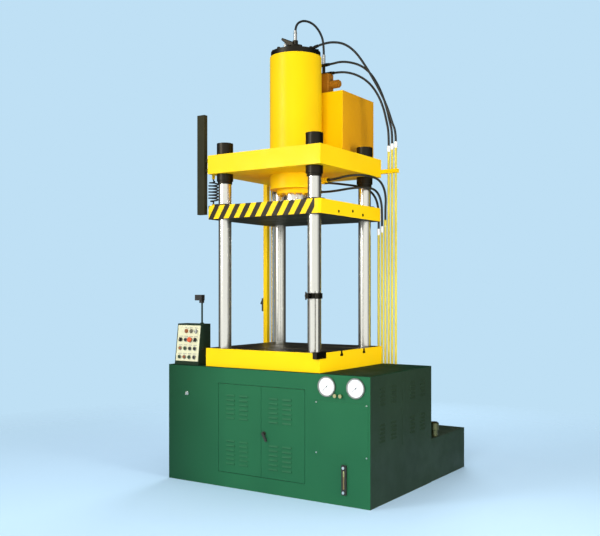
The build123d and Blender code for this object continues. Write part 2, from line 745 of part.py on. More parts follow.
right_end = (short_pipe_x[2], pipe_row_y, short_pipe_top[2])
gland_end = (short_pipe_x[1], pipe_row_y, short_pipe_top[1])
rear_end = (short_pipe_x[0], pipe_row_y, short_pipe_top[0])
valve_end = (tall_pipe_x[0], pipe_row_y, tall_pipe_top[0])
tee_end = (tall_pipe_x[1], pipe_row_y, tall_pipe_top[1])
cover_end = (tall_pipe_x[2], pipe_row_y, tall_pipe_top[2])
port_run = 62.0
hose_routes = {
    "hose_cover_loop": [
        (union_x, 0, union_top),
        *from_crown((union_x, 0, 1184), (2, 34, 1244), (22, 104, 1278), (50, 186, 1268), (68, 258, 1214)),
        (tee_x, valve_y, tee_top + 118),
        (tee_x, valve_y, tee_top),
    ],
    "hose_cover_long": [
        union_start,
        *from_crown((212, 60, 1020), (262, 132, 1044), (322, 205, 1040), (384, 272, 984), (442, 338, 872),
                    (494, 388, 756), (540, 426, 648), (578, 452, 540), (607, 468, 432)),
        above_pipe(tall_pipe_x[2], tall_pipe_top[2], 80),
        cover_end,
    ],
    "hose_tee": [
        (tee_reach, valve_y, tee_z),
        (150, valve_y, tee_z),
        *from_crown((218, 326, 942), (296, 362, 932), (370, 400, 902), (432, 434, 842), (482, 460, 752),
                    (524, 472, 650), (556, pipe_row_y, 548), (582, pipe_row_y, 438)),
        above_pipe(tall_pipe_x[1], tall_pipe_top[1], 96),
        tee_end,
    ],
    "hose_valve": [
        (valve_port_x, valve_y, valve_port_z),
        (200, valve_y, valve_port_z),
        *from_crown((272, 324, 849), (346, 362, 825), (408, 406, 782), (458, 438, 720), (500, 462, 636),
                    (530, 474, 548), (552, pipe_row_y, 452)),
        above_pipe(tall_pipe_x[0], tall_pipe_top[0], 110),
        valve_end,
    ],
    "hose_right_port": [
        (right_port_reach, 0, right_port_z),
        (right_port_reach + port_run, 0, right_port_z),
        *from_crown((436, 24, -30), (504, 88, -18), (542, 176, -16), (551, 272, -20), (554, 366, -38),
                    (551, 440, -88), (547, pipe_row_y, -164)),
        above_pipe(short_pipe_x[2], short_pipe_top[2], 96),
        right_end,
    ],
    "hose_gland_port": [
        port_point(gland_port_angle, gland_port_z, gland_port_reach),
        port_point(gland_port_angle, gland_port_z, gland_port_reach + port_run - 3),
        *from_crown((308, 146, -118), (390, 200, -100), (456, 274, -92), (490, 366, -92), (502, 440, -128),
                    (509, pipe_row_y, -204)),
        above_pipe(short_pipe_x[1], short_pipe_top[1], 90),
        gland_end,
    ],
    "hose_rear_port": [
        port_point(rear_port_angle, rear_port_z, rear_port_reach),
        port_point(rear_port_angle, rear_port_z, rear_port_reach + port_run + 28),
        *from_crown((224, 376, -42), (300, 442, -52), (386, 478, -80), (446, 488, -142), (474, 486, -230)),
        above_pipe(short_pipe_x[0], short_pipe_top[0], 92),
        rear_end,
    ],
}


def bend_radii(points):
    """Radius of the arc at each inner point, as large as its two runs allow."""
    radii = []
    for before, corner, after in zip(points, points[1:], points[2:]):
        first = Vector(*corner) - Vector(*before)
        second = Vector(*after) - Vector(*corner)
        turn = math.radians(first.get_angle(second))
        radii.append(0.45 * min(first.length, second.length) / math.tan(turn / 2))
    return radii


for hose_name, route in hose_routes.items():
    radii = bend_radii(route)
    print(hose_name, "radii", [round(radius) for radius in radii])
    with BuildPart() as hose:
        with BuildLine():
            FilletPolyline(*route, radius=radii)
        with BuildSketch(Plane(origin=route[0], z_dir=Vector(*route[1]) - Vector(*route[0]))):
            Circle(hose_diameter / 2)
        sweep()
    hose.part.label = hose_name
    export_step(hose.part, f"parts/{hose_name}.step")

# Curly cord between crown and platen: one tube of its outer diameter
with BuildPart() as curly_cord:
    with BuildSketch(Plane.XY.offset(cord_bottom)):
        with Locations((cord_x, cord_y)):
            Circle(cord_diameter / 2)
    extrude(amount=cord_top - cord_bottom)
curly_cord.part.label = "curly_cord"
export_step(curly_cord.part, "parts/curly_cord.step")

# Stroke rod on its corner block, and the bright trip rod at the rear left
table_right = table_width / 2
table_front = table_shift - table_depth / 2
block_left = table_right - 28.0
block_right = table_right + 7.0
block_front = table_front - 52.0
block_rear = table_front + 76.0
block_bottom = table_top - 40.0
block_height = 49.0
stroke_rod_x = table_right - 11.0
stroke_rod_y = table_front - 18.0
stroke_rod_diameter = 24.0
stroke_rod_top = table_top + 435.0
trip_rod_x = -beam_width / 2 - 23.0
trip_rod_y = beam_depth / 2 - 22.0
trip_rod_diameter = 27.0
trip_rod_top = crown_bottom + 23.0

with BuildPart() as stop_rods:
    with BuildSketch(Plane.XY.offset(block_bottom)):
        with BuildLine():
            Polyline(
                (block_left, block_front),
                (block_right, block_front),
                (block_right, block_rear),
                (table_right, block_rear),
                (table_right, table_front),
                (block_left, table_front),
                close=True,
            )
        make_face()
    extrude(amount=block_height)
    with BuildSketch(Plane.XY.offset(block_bottom + block_height)):
        with Locations((stroke_rod_x, stroke_rod_y)):
            Circle(stroke_rod_diameter / 2)
    extrude(amount=stroke_rod_top - block_bottom - block_height)
    with BuildSketch(Plane.XY.offset(cabinet_height)):
        with Locations((trip_rod_x, trip_rod_y)):
            Circle(trip_rod_diameter / 2 + 4)
    extrude(amount=12)
    with BuildSketch(Plane.XY.offset(cabinet_height)):
        with Locations((trip_rod_x, trip_rod_y)):
            Circle(trip_rod_diameter / 2)
    extrude(amount=trip_rod_top - cabinet_height)
stop_rods.part.label = "stop_rods"
export_step(stop_rods.part, "parts/stop_rods.step")

# Column clamp: split collar on the near column, ears at the front, an arm to the stroke rod
clamp_bottom = table_top + 384.0
collar_height = 40.0
collar_diameter = 118.0
collar_slot = 4.0
collar_x = column_pitch_x / 2
collar_y = -column_pitch_y / 2
ear_thickness = 10.0
ear_reach = column_radius + 52.0
screw_reach = column_radius + 38.0
arm_width = 28.0
rod_dx = stroke_rod_x - collar_x
rod_dy = stroke_rod_y - collar_y
rod_reach = math.hypot(rod_dx, rod_dy)
rod_angle = math.degrees(math.atan2(rod_dy, rod_dx))
screw_diameter = 9.0
screw_plane = Plane(
    origin=(collar_x, collar_y - screw_reach, clamp_bottom + collar_height / 2),
    x_dir=(0, 0, 1),
    z_dir=(-1, 0, 0),
)

with BuildPart() as column_clamp:
    with BuildSketch(Plane.XY.offset(clamp_bottom)):
        with Locations((collar_x, collar_y)):
            Circle(collar_diameter / 2)
        with Locations((collar_x, collar_y - ear_reach / 2)):
            Rectangle(2 * ear_thickness + collar_slot, ear_reach)
        with Locations(Location((collar_x, collar_y), rod_angle)):
            with Locations((rod_reach / 2 + column_radius / 2, 0)):
                Rectangle(rod_reach - column_radius, arm_width)
        with Locations((stroke_rod_x, stroke_rod_y)):
            Circle(arm_width / 2 + 5)
        with Locations((collar_x, collar_y)):
            Circle(column_radius + running_clearance, mode=Mode.SUBTRACT)
        with Locations((collar_x, collar_y - ear_reach / 2 - 5)):
            Rectangle(collar_slot, ear_reach, mode=Mode.SUBTRACT)
        with Locations((stroke_rod_x, stroke_rod_y)):
            Circle(stroke_rod_diameter / 2 + running_clearance, mode=Mode.SUBTRACT)
    extrude(amount=collar_height)
    with BuildSketch(screw_plane.offset(-collar_height)):
        Circle(screw_diameter / 2 + running_clearance)
    extrude(amount=2 * collar_height, mode=Mode.SUBTRACT)
column_clamp.part.label = "column_clamp"
export_step(column_clamp.part, "parts/column_clamp.step")

# Clamp handle: screw through the collar's ears with a wing on its head
ear_face = ear_thickness + collar_slot / 2 + fit_gap
handle_hub = 20.0
handle_hub_height = 8.0
wing_length = 58.0
screw_nut = 8.0

with BuildPart() as clamp_handle:
    with BuildSketch(screw_plane.offset(-ear_face - screw_nut)):
        Circle(screw_diameter / 2)
    extrude(amount=2 * ear_face + screw_nut + handle_hub_height)
    with BuildSketch(screw_plane.offset(ear_face)):
        Circle(handle_hub / 2)
    extrude(amount=handle_hub_height)
    with BuildSketch(screw_plane.offset(-ear_face - screw_nut)):
        RegularPolygon(8, 6)
    extrude(amount=screw_nut)
    with BuildSketch(screw_plane.offset(ear_face + 1)):
        SlotOverall(wing_length, 13)
    extrude(amount=handle_hub_height - 2)
clamp_handle.part.label = "clamp_handle"
export_step(clamp_handle.part, "parts/clamp_handle.step")

# Switch post at the rear left, with its bracket to the crown and the switch
post_x = -beam_width / 2 - 43.0
post_y = beam_depth / 2 - 77.0
post_size = 40.0
post_wall = 4.0
post_top = crown_bottom + 118.0
post_pad = 60.0
switch_z = table_top + 315.0
post_left = post_x - post_size / 2
post_right = post_x + post_size / 2
pad_length = -beam_width / 2 - post_right

with BuildPart() as switch_post:
    with BuildSketch(Plane.XY.offset(cabinet_height)):
        with Locations((post_x - 10, post_y)):
            Rectangle(post_size + 40, post_size)
    extrude(amount=10)
    with BuildSketch(Plane.XY.offset(cabinet_height + 10)):
        with Locations((post_x, post_y)):
            Rectangle(post_size, post_size)
            Rectangle(post_size - 2 * post_wall, post_size - 2 * post_wall, mode=Mode.SUBTRACT)
    extrude(amount=post_top - cabinet_height - 10)
    with BuildSketch(Plane.XY.offset(post_top - post_pad - 20)):
        with Locations((post_right + pad_length / 2, post_y)):
            Rectangle(pad_length, post_size)
    extrude(amount=post_pad)
    with BuildSketch(Plane.XY.offset(switch_z - 50)):
        with Locations((post_left - 9, post_y - 6)):
            RectangleRounded(18, 30, 3)
    extrude(amount=112)
    with BuildSketch(Plane.XZ.offset(-(post_y - 6))):
        with Locations((post_left - 20, switch_z + 30)):
            SlotOverall(46, 16, rotation=65)
    extrude(amount=10, both=True)
switch_post.part.label = "switch_post"
export_step(switch_post.part, "parts/switch_post.step")

# Switch rail: folded channel beside the crown, with two arms to the crown's left face
rail_left = -beam_width / 2 - 113.0
rail_right = -beam_width / 2 - 41.0
rail_front = -beam_depth / 2 + 12.0
rail_back = rail_front + 38.0
rail_bottom = crown_bottom - 309.0
rail_top = crown_bottom + 466.0
rail_wall = 3.0
rail_arm = 26.0

with BuildPart() as switch_rail:
    with BuildSketch(Plane.XY.offset(rail_bottom)):
        with Locations(((rail_left + rail_right) / 2, (rail_front + rail_back) / 2)):
            Rectangle(rail_right - rail_left, rail_back - rail_front)
    extrude(amount=rail_top - rail_bottom)
    with BuildSketch(Plane.XY.offset(rail_bottom + rail_wall)):
        with Locations(((rail_left + rail_right) / 2, (rail_front + rail_back) / 2 + rail_wall)):
            Rectangle(rail_right - rail_left - 2 * rail_wall, rail_back - rail_front)
    extrude(amount=rail_top - rail_bottom - 2 * rail_wall, mode=Mode.SUBTRACT)
    for arm_z in (crown_bottom + 20, crown_top - 20 - rail_arm):
        with BuildSketch(Plane.XY.offset(arm_z)):
            with Locations(((rail_right - beam_width / 2) / 2, rail_back - rail_arm / 2)):
                Rectangle(-beam_width / 2 - rail_right, rail_arm)
        extrude(amount=rail_arm)
switch_rail.part.label = "switch_rail"
export_step(switch_rail.part, "parts/switch_rail.step")

# Console: folded sheet desk with a raked face, a stalk and its head
tilt = math.radians(console_tilt)
console_lean = console_height * math.tan(tilt)
console_left = console_x - console_width / 2
face_plane = Plane(
    origin=(console_x, console_front, cabinet_height),
    x_dir=(1, 0, 0),
    z_dir=(0, -math.cos(tilt), math.sin(tilt)),
)
face_axis = Axis(face_plane.origin, face_plane.z_dir)
head_width = 72.0
head_depth = 46.0
head_height = 45.0
neck_width = 30.0
neck_length = 20.0

with BuildPart() as console_body:
    with BuildSketch(Plane.YZ.offset(console_left)):
        with BuildLine():
            Polyline(
                (console_front, cabinet_height),
                (console_rear, cabinet_height),
                (console_rear, cabinet_height + console_height),
                (console_front + console_lean, cabinet_height + console_height),
                close=True,
            )
        make_face()
    extrude(amount=console_width)
    with BuildSketch(Plane.YZ.offset(console_left + console_wall)):
        with BuildLine():
            Polyline(
                (console_front + 3 * console_wall, cabinet_height + console_wall),
                (console_rear - console_wall, cabinet_height + console_wall),
                (console_rear - console_wall, cabinet_height + console_height - console_wall),
                (console_front + 3 * console_wall + console_lean, cabinet_height + console_height - console_wall),
                close=True,
            )
        make_face()
    extrude(amount=console_width - 2 * console_wall, mode=Mode.SUBTRACT)
    with BuildSketch(face_plane.offset(-panel_thickness)):
        with Locations((0, panel_bottom + panel_height / 2)):
            Rectangle(panel_width - 16, panel_height - 16)
    extrude(amount=-3 * console_wall, mode=Mode.SUBTRACT)
    with BuildSketch(face_plane):
        with Locations((0, panel_bottom + panel_height / 2)):
            Rectangle(panel_width, panel_height)
    extrude(amount=-panel_thickness, mode=Mode.SUBTRACT)
    with BuildSketch(Plane.XY.offset(cabinet_height + console_height)):
        with Locations((stalk_x, stalk_y)):
            Circle(stalk_diameter)
    extrude(amount=8)
    with BuildSketch(Plane.XY.offset(cabinet_height + console_height)):
        with Locations((stalk_x, stalk_y)):
            Circle(stalk_diameter / 2)
    extrude(amount=stalk_height)
    with BuildSketch(Plane.XY.offset(cabinet_height + console_height + stalk_height - neck_length)):
        with Locations((stalk_x - neck_width / 8, stalk_y)):
            RectangleRounded(neck_width, neck_width, 4)
    extrude(amount=neck_length)
    with BuildSketch(Plane.XY.offset(cabinet_height + console_height + stalk_height)):
        with Locations((stalk_x - head_width / 3, stalk_y)):
            RectangleRounded(head_width, head_depth, 8)
    extrude(amount=head_height)
console_body.part.label = "console_body"
export_step(console_body.part, "parts/console_body.step")

# Console devices: column and row on the panel
grid_x = [(column - 1.5) * device_pitch_x for column in range(4)]
grid_y = [first_row + row * device_pitch_y for row in range(4)]
lamp_places = [(grid_x[1], grid_y[3]), (grid_x[2], grid_y[3]), (grid_x[0], grid_y[1])]
button_places = {
    "button_inch": (grid_x[1], grid_y[2]),
    "button_pump_start": (grid_x[1], grid_y[1]),
    "button_pump_stop": (grid_x[2], grid_y[1]),
    "button_left_cycle": (grid_x[3], grid_y[1]),
    "button_down": (grid_x[0], grid_y[0]),
    "button_pressure": (grid_x[1], grid_y[0]),
    "button_up": (grid_x[2], grid_y[0]),
    "button_eject": (grid_x[3], grid_y[0]),
}
key_place = (grid_x[3], grid_y[3])
selector_places = {
    "selector_mode": (grid_x[0], grid_y[2]),
    "selector_speed": (grid_x[3], grid_y[2]),
}
stop_place = (grid_x[2], grid_y[2])
turning_places = [key_place] + list(selector_places.values())
stem_radius = button_stem / 2
hole_radius = stem_radius + fit_gap
button_radius = button_diameter / 2
bezel_radius = bezel_diameter / 2

# Console panel with its bezels and lamp lenses
with BuildPart() as console_panel:
    with BuildSketch(face_plane.offset(-panel_thickness)):
        with Locations((0, panel_bottom + panel_height / 2)):
            Rectangle(panel_width, panel_height)
    extrude(amount=panel_thickness)
    with BuildSketch(face_plane):
        with Locations(*button_places.values(), *turning_places, stop_place):
            Circle(bezel_radius)
            Circle(button_radius + fit_gap, mode=Mode.SUBTRACT)
        with Locations(*lamp_places):
            Circle(bezel_radius)
    extrude(amount=bezel_height)
    with BuildSketch(face_plane.offset(bezel_height)):
        with Locations(*lamp_places):
            Circle(button_radius)
    extrude(amount=8, taper=20)
    with BuildSketch(face_plane.offset(-panel_thickness)):
        with Locations(*button_places.values(), *turning_places, stop_place):
            Circle(hole_radius)
    extrude(amount=panel_thickness, mode=Mode.SUBTRACT)
console_panel.part.label = "console_panel"
export_step(console_panel.part, "parts/console_panel.step")

# Push buttons: cap and stem, each free to travel into its bezel
stem_length = 28.0

for button_name, place in button_places.items():
    with BuildPart() as button:
        with BuildSketch(face_plane.offset(-panel_thickness - stem_length)):
            with Locations(place):
                Circle(stem_radius)
        extrude(amount=panel_thickness + stem_length + button_travel + 1)
        with BuildSketch(face_plane.offset(button_travel + fit_gap)):
            with Locations(place):
                Circle(button_radius)
        extrude(amount=bezel_height + button_stand - button_travel)
        fillet(button.edges().filter_by(GeomType.CIRCLE).sort_by(face_axis)[-1], radius=1.5)
    button.part.label = button_name
    export_step(button.part, f"parts/{button_name}.step")

# Stop button: mushroom head on its stem
with BuildPart() as stop_button:
    with BuildSketch(face_plane.offset(-panel_thickness - stem_length)):
        with Locations(stop_place):
            Circle(stem_radius)
    extrude(amount=panel_thickness + stem_length + bezel_height + stop_travel + 2)
    with BuildSketch(face_plane.offset(bezel_height + stop_travel + 1)):
        with Locations(stop_place):
            Circle(stop_diameter / 2)
    extrude(amount=14)
    fillet(stop_button.edges().filter_by(GeomType.CIRCLE).sort_by(face_axis)[-1], radius=6)
stop_button.part.label = "stop_button"
export_step(stop_button.part, "parts/stop_button.step")

# Selector knobs: round base with a raised grip
for selector_name, place in selector_places.items():
    with BuildPart() as selector:
        with BuildSketch(face_plane.offset(-panel_thickness - stem_length)):
            with Locations(place):
                Circle(stem_radius)
        extrude(amount=panel_thickness + stem_length + bezel_height + 2)
        with BuildSketch(face_plane.offset(bezel_height + fit_gap)):
            with Locations(place):
                Circle(bezel_radius)
        extrude(amount=5)
        with BuildSketch(face_plane.offset(bezel_height + 4)):
            with Locations(place):
                SlotOverall(bezel_diameter - 3, 9, rotation=90)
        extrude(amount=14)
    selector.part.label = selector_name
    export_step(selector.part, f"parts/{selector_name}.step")

# Key switch with its key
with BuildPart() as key_switch:
    with BuildSketch(face_plane.offset(-panel_thickness - stem_length)):
        with Locations(key_place):
            Circle(stem_radius)
    extrude(amount=panel_thickness + stem_length + bezel_height + 2)
    with BuildSketch(face_plane.offset(bezel_height)):
        with Locations(key_place):
            Rectangle(3, 9)
    extrude(amount=14)
    with BuildSketch(face_plane.offset(bezel_height + 12)):
        with Locations(key_place):
            SlotOverall(24, 3.4, rotation=90)
    extrude(amount=20)
key_switch.part.label = "key_switch"
export_step(key_switch.part, "parts/key_switch.step")

# Motor, pump and the coupling between them, on the tank inside the right bay
motor_x = 690.0
motor_axis_z = 515.0
motor_rear = 330.0
motor_length = 400.0
motor_diameter = 260.0
shaft_diameter = 38.0
motor_bore = shaft_diameter + 0.6
housing_diameter = 210.0
housing_length = 110.0
housing_wall = 12.0
pump_diameter = 130.0
pump_length = 150.0
foot_width = 230.0
foot_height = 18.0
fin_count = 24
motor_front = motor_rear - motor_length
housing_front = motor_front - housing_length
motor_plane = Plane(origin=(motor_x, motor_rear, motor_axis_z), x_dir=(1, 0, 0), z_dir=(0, -1, 0))

with BuildPart() as motor:
    with BuildSketch(motor_plane):
        Circle(motor_diameter / 2 - 14)
        with PolarLocations(motor_diameter / 2 - 10, fin_count):
            Rectangle(20, 6)
    extrude(amount=motor_length)
    with BuildSketch(motor_plane):
        Circle(motor_diameter / 2)
    extrude(amount=60)
    with BuildSketch(Plane.XY.offset(tank_height)):
        with Locations((motor_x, motor_rear - motor_length / 2)):
            Rectangle(foot_width, motor_length * 0.7)
    extrude(amount=foot_height)
    with BuildSketch(Plane.XY.offset(tank_height + foot_height)):
        with GridLocations(foot_width * 0.6, 0, 2, 1):
            with Locations((motor_x, motor_rear - motor_length / 2)):
                Rectangle(24, motor_length * 0.6)
    extrude(amount=motor_axis_z - tank_height - foot_height - motor_diameter / 2 + 60)
    with BuildSketch(motor_plane.offset(motor_length)):
        Circle(housing_diameter / 2)
        Circle(housing_diameter / 2 - housing_wall, mode=Mode.SUBTRACT)
    extrude(amount=housing_length)
    with BuildSketch(motor_plane.offset(motor_length - 60)):
        Circle(motor_bore / 2)
    extrude(amount=60, mode=Mode.SUBTRACT)
motor.part.label = "motor"
export_step(motor.part, "parts/motor.step")

# Pump: flange and body in front of the bell housing
with BuildPart() as pump:
    with BuildSketch(motor_plane.offset(motor_length + housing_length)):
        Circle(housing_diameter / 2)
        Circle(motor_bore / 2, mode=Mode.SUBTRACT)
    extrude(amount=16)
    with BuildSketch(motor_plane.offset(motor_length + housing_length + 16)):
        Circle(pump_diameter / 2)
        Circle(motor_bore / 2, mode=Mode.SUBTRACT)
    extrude(amount=20)
    with BuildSketch(motor_plane.offset(motor_length + housing_length + 36)):
        RectangleRounded(pump_diameter, pump_diameter, 16)
    extrude(amount=pump_length - 36)
pump.part.label = "pump"
export_step(pump.part, "parts/pump.step")

# Coupling: motor shaft end, two jaw halves and pump shaft end, turning as one
shaft_in = 50.0
coupling_diameter = 90.0

with BuildPart() as coupling:
    with BuildSketch(motor_plane.offset(motor_length - shaft_in)):
        Circle(shaft_diameter / 2)
    extrude(amount=shaft_in + housing_length + 30)
    with BuildSketch(motor_plane.offset(motor_length + 22)):
        Circle(coupling_diameter / 2)
        with PolarLocations(coupling_diameter / 2, 6):
            Rectangle(12, 8, mode=Mode.SUBTRACT)
    extrude(amount=66)
coupling.part.label = "coupling"
export_step(coupling.part, "parts/coupling.step")

# Valve manifold on the floor plate behind the doors, with its solenoid valves
manifold_x = 40.0
manifold_y = 20.0
manifold_width = 300.0
manifold_depth = 130.0
manifold_stand = 220.0
manifold_height = 140.0
solenoid_count = 4
solenoid_pitch = 70.0

with BuildPart() as manifold:
    with BuildSketch(Plane.XY.offset(base_plate)):
        with Locations((manifold_x, manifold_y)):
            Rectangle(manifold_width * 0.8, manifold_depth * 0.7)
    extrude(amount=manifold_stand)
    with BuildSketch(Plane.XY.offset(base_plate + manifold_stand)):
        with Locations((manifold_x, manifold_y)):
            Rectangle(manifold_width, manifold_depth)
    extrude(amount=manifold_height)
    with BuildSketch(Plane.XY.offset(base_plate + manifold_stand + manifold_height)):
        with Locations((manifold_x, manifold_y)):
            with GridLocations(solenoid_pitch, 0, solenoid_count, 1):
                Rectangle(46, 70)
    extrude(amount=60)
    with BuildSketch(Plane.XZ.offset(-(manifold_y - 100))):
        with Locations((manifold_x, base_plate + manifold_stand + manifold_height + 34)):
            with GridLocations(solenoid_pitch, 0, solenoid_count, 1):
                Circle(21)
    extrude(amount=-200)
manifold.part.label = "manifold"
export_step(manifold.part, "parts/manifold.step")

# Pressure gauges with their stems and isolating valve bodies
valve_body = 34.0
valve_depth = 44.0
valve_stem = 9.0
stem_y = cabinet_front + sheet + gauge_depth - 12

with BuildPart() as gauges:
    for gauge_centre_x, valve_centre_x in zip(gauge_x, gauge_valve_x):
        with BuildSketch(front_plane):
            with Locations((gauge_centre_x, gauge_z)):
                Circle(gauge_flange / 2)
        extrude(amount=gauge_bezel)
        with BuildSketch(front_plane):
            with Locations((gauge_centre_x, gauge_z)):
                Circle(gauge_case / 2)
        extrude(amount=-sheet - gauge_depth)
        with BuildSketch(front_plane.offset(gauge_bezel)):
            with Locations((gauge_centre_x, gauge_z)):
                Circle(gauge_flange / 2 - gauge_rim)
        extrude(amount=-gauge_dial_depth, mode=Mode.SUBTRACT)
        with BuildSketch(front_plane.offset(-sheet - fit_gap)):
            with Locations((valve_centre_x, gauge_valve_z)):
                Rectangle(valve_body, valve_body)
                Circle(valve_stem / 2 + running_clearance, mode=Mode.SUBTRACT)
        extrude(amount=-valve_depth)
        run_x = valve_centre_x - gauge_centre_x
        run_z = gauge_valve_z - gauge_z
        with BuildSketch(Plane(origin=(gauge_centre_x, stem_y, gauge_z), x_dir=(0, 1, 0), z_dir=(run_x, 0, run_z))):
            Circle(6)
        extrude(amount=math.hypot(run_x, run_z) - valve_body / 2)
gauges.part.label = "gauges"
export_step(gauges.part, "parts/gauges.step")

# Gauge needles on their dials, resting at zero, and the valve knobs below
needle_gap = 0.8
dial_offset = gauge_bezel - gauge_dial_depth
needle_zero = 225.0
needle_names = ("needle_left", "needle_right")
knob_names = ("valve_knob_left", "valve_knob_right")

for needle_name, centre_x in zip(needle_names, gauge_x):
    with BuildPart() as needle:
        with BuildSketch(front_plane.offset(dial_offset + needle_gap)):
            with Locations((centre_x, gauge_z)):
                Circle(6)
            with Locations(Location((centre_x, gauge_z), needle_zero)):
                with Locations((needle_length / 2 - 7, 0)):
                    Rectangle(needle_length + 14, 3)
        extrude(amount=1.6)
    needle.part.label = needle_name
    export_step(needle.part, f"parts/{needle_name}.step")

for knob_name, centre_x in zip(knob_names, gauge_valve_x):
    with BuildPart() as knob:
        with BuildSketch(front_plane.offset(-sheet - valve_depth * 0.6)):
            with Locations((centre_x, gauge_valve_z)):
                Circle(valve_stem / 2)
        extrude(amount=sheet + valve_depth * 0.6 + 16)
        with BuildSketch(front_plane.offset(12)):
            with Locations((centre_x, gauge_valve_z)):
                Circle(knob_diameter / 2)
                with PolarLocations(knob_diameter / 2, 12):
                    with Locations((centre_x, gauge_valve_z)):
                        Circle(1.6, mode=Mode.SUBTRACT)
        extrude(amount=knob_height)
    knob.part.label = knob_name
    export_step(knob.part, f"parts/{knob_name}.step")

# Oil level gauge on the front, its bolts through to the tank
level_depth = 16.0
level_window = 14.0
level_bolt = 6.0
level_inset = level_width / 2

with BuildPart() as level_gauge:
    with BuildSketch(front_plane):
        with Locations((level_x, (level_bottom + level_top) / 2)):
            RectangleRounded(level_width, level_top - level_bottom, 4)
    extrude(amount=level_depth)
    with BuildSketch(front_plane.offset(level_depth)):
        with Locations((level_x, (level_bottom + level_top) / 2)):
            RectangleRounded(level_window, level_top - level_bottom - 2 * level_width - 4, 5)
    extrude(amount=-level_depth / 2, mode=Mode.SUBTRACT)
    with BuildSketch(front_plane.offset(level_depth)):
        with Locations((level_x, level_bottom + level_inset), (level_x, level_top - level_inset)):
            RegularPolygon(11, 6)
    extrude(amount=7)
    with BuildSketch(front_plane):
        with Locations((level_x, level_bottom + level_inset), (level_x, level_top - level_inset)):
            Circle(level_bolt)
    extrude(amount=-sheet - fit_gap)
level_gauge.part.label = "level_gauge"
export_step(level_gauge.part, "parts/level_gauge.step")

# Access panel lapped over its opening, with corner screws
access_width = access_right - access_left
access_height = access_top - access_bottom
screw_inset = 10.0

with BuildPart() as access_panel:
    with BuildSketch(front_plane):
        with Locations((access_left + access_width / 2, access_bottom + access_height / 2)):
            Rectangle(access_width, access_height)
    extrude(amount=sheet)
    with BuildSketch(front_plane.offset(sheet)):
        with Locations((access_left + access_width / 2, access_bottom + access_height / 2)):
            with GridLocations(access_width - 2 * screw_inset, access_height - 2 * screw_inset, 2, 2):
                Circle(6)
    extrude(amount=3, taper=25)
access_panel.part.label = "access_panel"
export_step(access_panel.part, "parts/access_panel.step")

# Doors: folded pans with pressed louvres and hinge pins
left_door_right = door_meeting - seam / 2
right_door_left = door_meeting + seam / 2
door_height = door_top - door_bottom
louvre_columns_left = (-256.5, -133.0)
louvre_columns_right = (137.0, 255.5)
louvre_rows = (604.0, 262.0)
handle_x = 52.0
handle_z = 436.0
spindle_diameter = 14.0
door_pans = {
    "door_left": (door_left, left_door_right, hinge_left_x, louvre_columns_left, ()),
    "door_right": (right_door_left, door_right, hinge_right_x, louvre_columns_right, ((handle_x, handle_z),)),
}

for door_name, (pan_left, pan_right, pin_x, louvre_columns, spindle_holes) in door_pans.items():
    pan_centre = ((pan_left + pan_right) / 2, (door_bottom + door_top) / 2)
    pan_width = pan_right - pan_left
    with BuildPart() as door:
        with BuildSketch(front_plane):
            with Locations(pan_centre):
                Rectangle(pan_width, door_height)
        extrude(amount=-door_depth)
        with BuildSketch(front_plane.offset(-door_skin)):
            with Locations(pan_centre):
                Rectangle(pan_width - 2 * door_skin, door_height - 2 * door_skin)
        extrude(amount=-door_depth, mode=Mode.SUBTRACT)
        for pin_z in (door_bottom - hinge_pin_reach, door_top - door_skin):
            with BuildSketch(Plane.XY.offset(pin_z)):
                with Locations((pin_x, hinge_y)):
                    Circle(hinge_pin / 2)
            extrude(amount=hinge_pin_reach + door_skin)
        for column_x in louvre_columns:
            for row_z in louvre_rows:
                for step in range(louvre_count):
                    slot_z = row_z + (step - (louvre_count - 1) / 2) * louvre_pitch
                    with BuildSketch(Plane.YZ.offset(column_x - louvre_width / 2)):
                        with BuildLine():
                            Polyline(
                                (cabinet_front + door_skin / 2, slot_z),
                                (cabinet_front - louvre_rise, slot_z),
                                (cabinet_front, slot_z + louvre_height),
                                (cabinet_front + door_skin / 2, slot_z + louvre_height),
                                close=True,
                            )
                        make_face()
                    extrude(amount=louvre_width)
                    with BuildSketch(Plane.YZ.offset(column_x - louvre_width / 2 + louvre_wall)):
                        with BuildLine():
                            Polyline(
                                (cabinet_front + door_skin, slot_z - louvre_wall),
                                (cabinet_front - louvre_rise + 2 * louvre_wall, slot_z - louvre_wall),
                                (cabinet_front + door_skin, slot_z + louvre_height - 2 * louvre_wall),
                                close=True,
                            )
                        make_face()
                    extrude(amount=louvre_width - 2 * louvre_wall, mode=Mode.SUBTRACT)
        if spindle_holes:
            with BuildSketch(front_plane):
                with Locations(*spindle_holes):
                    Circle(spindle_diameter / 2 + running_clearance)
            extrude(amount=-door_skin, mode=Mode.SUBTRACT)
    door.part.label = door_name
    export_step(door.part, f"parts/{door_name}.step")

# Door handle: escutcheon and lever on a spindle, with the latch cam behind
cam_length = 52.0
handle_lever = 74.0

with BuildPart() as door_handle:
    with BuildSketch(front_plane.offset(-door_depth - 6)):
        with Locations((handle_x, handle_z)):
            Circle(spindle_diameter / 2)
    extrude(amount=door_depth + 6 + 20)
    with BuildSketch(front_plane.offset(fit_gap)):
        with Locations((handle_x, handle_z)):
            Circle(16)
    extrude(amount=8)
    with BuildSketch(front_plane.offset(12)):
        with Locations(Location((handle_x, handle_z), -60)):
            with Locations((handle_lever / 2 - 11, 0)):
                SlotOverall(handle_lever, 18)
    extrude(amount=10)
    with BuildSketch(front_plane.offset(-door_depth - 6)):
        with Locations((handle_x, handle_z + cam_length / 2 - 10)):
            SlotOverall(cam_length, 18, rotation=90)
    extrude(amount=4)
door_handle.part.label = "door_handle"
export_step(door_handle.part, "parts/door_handle.step")

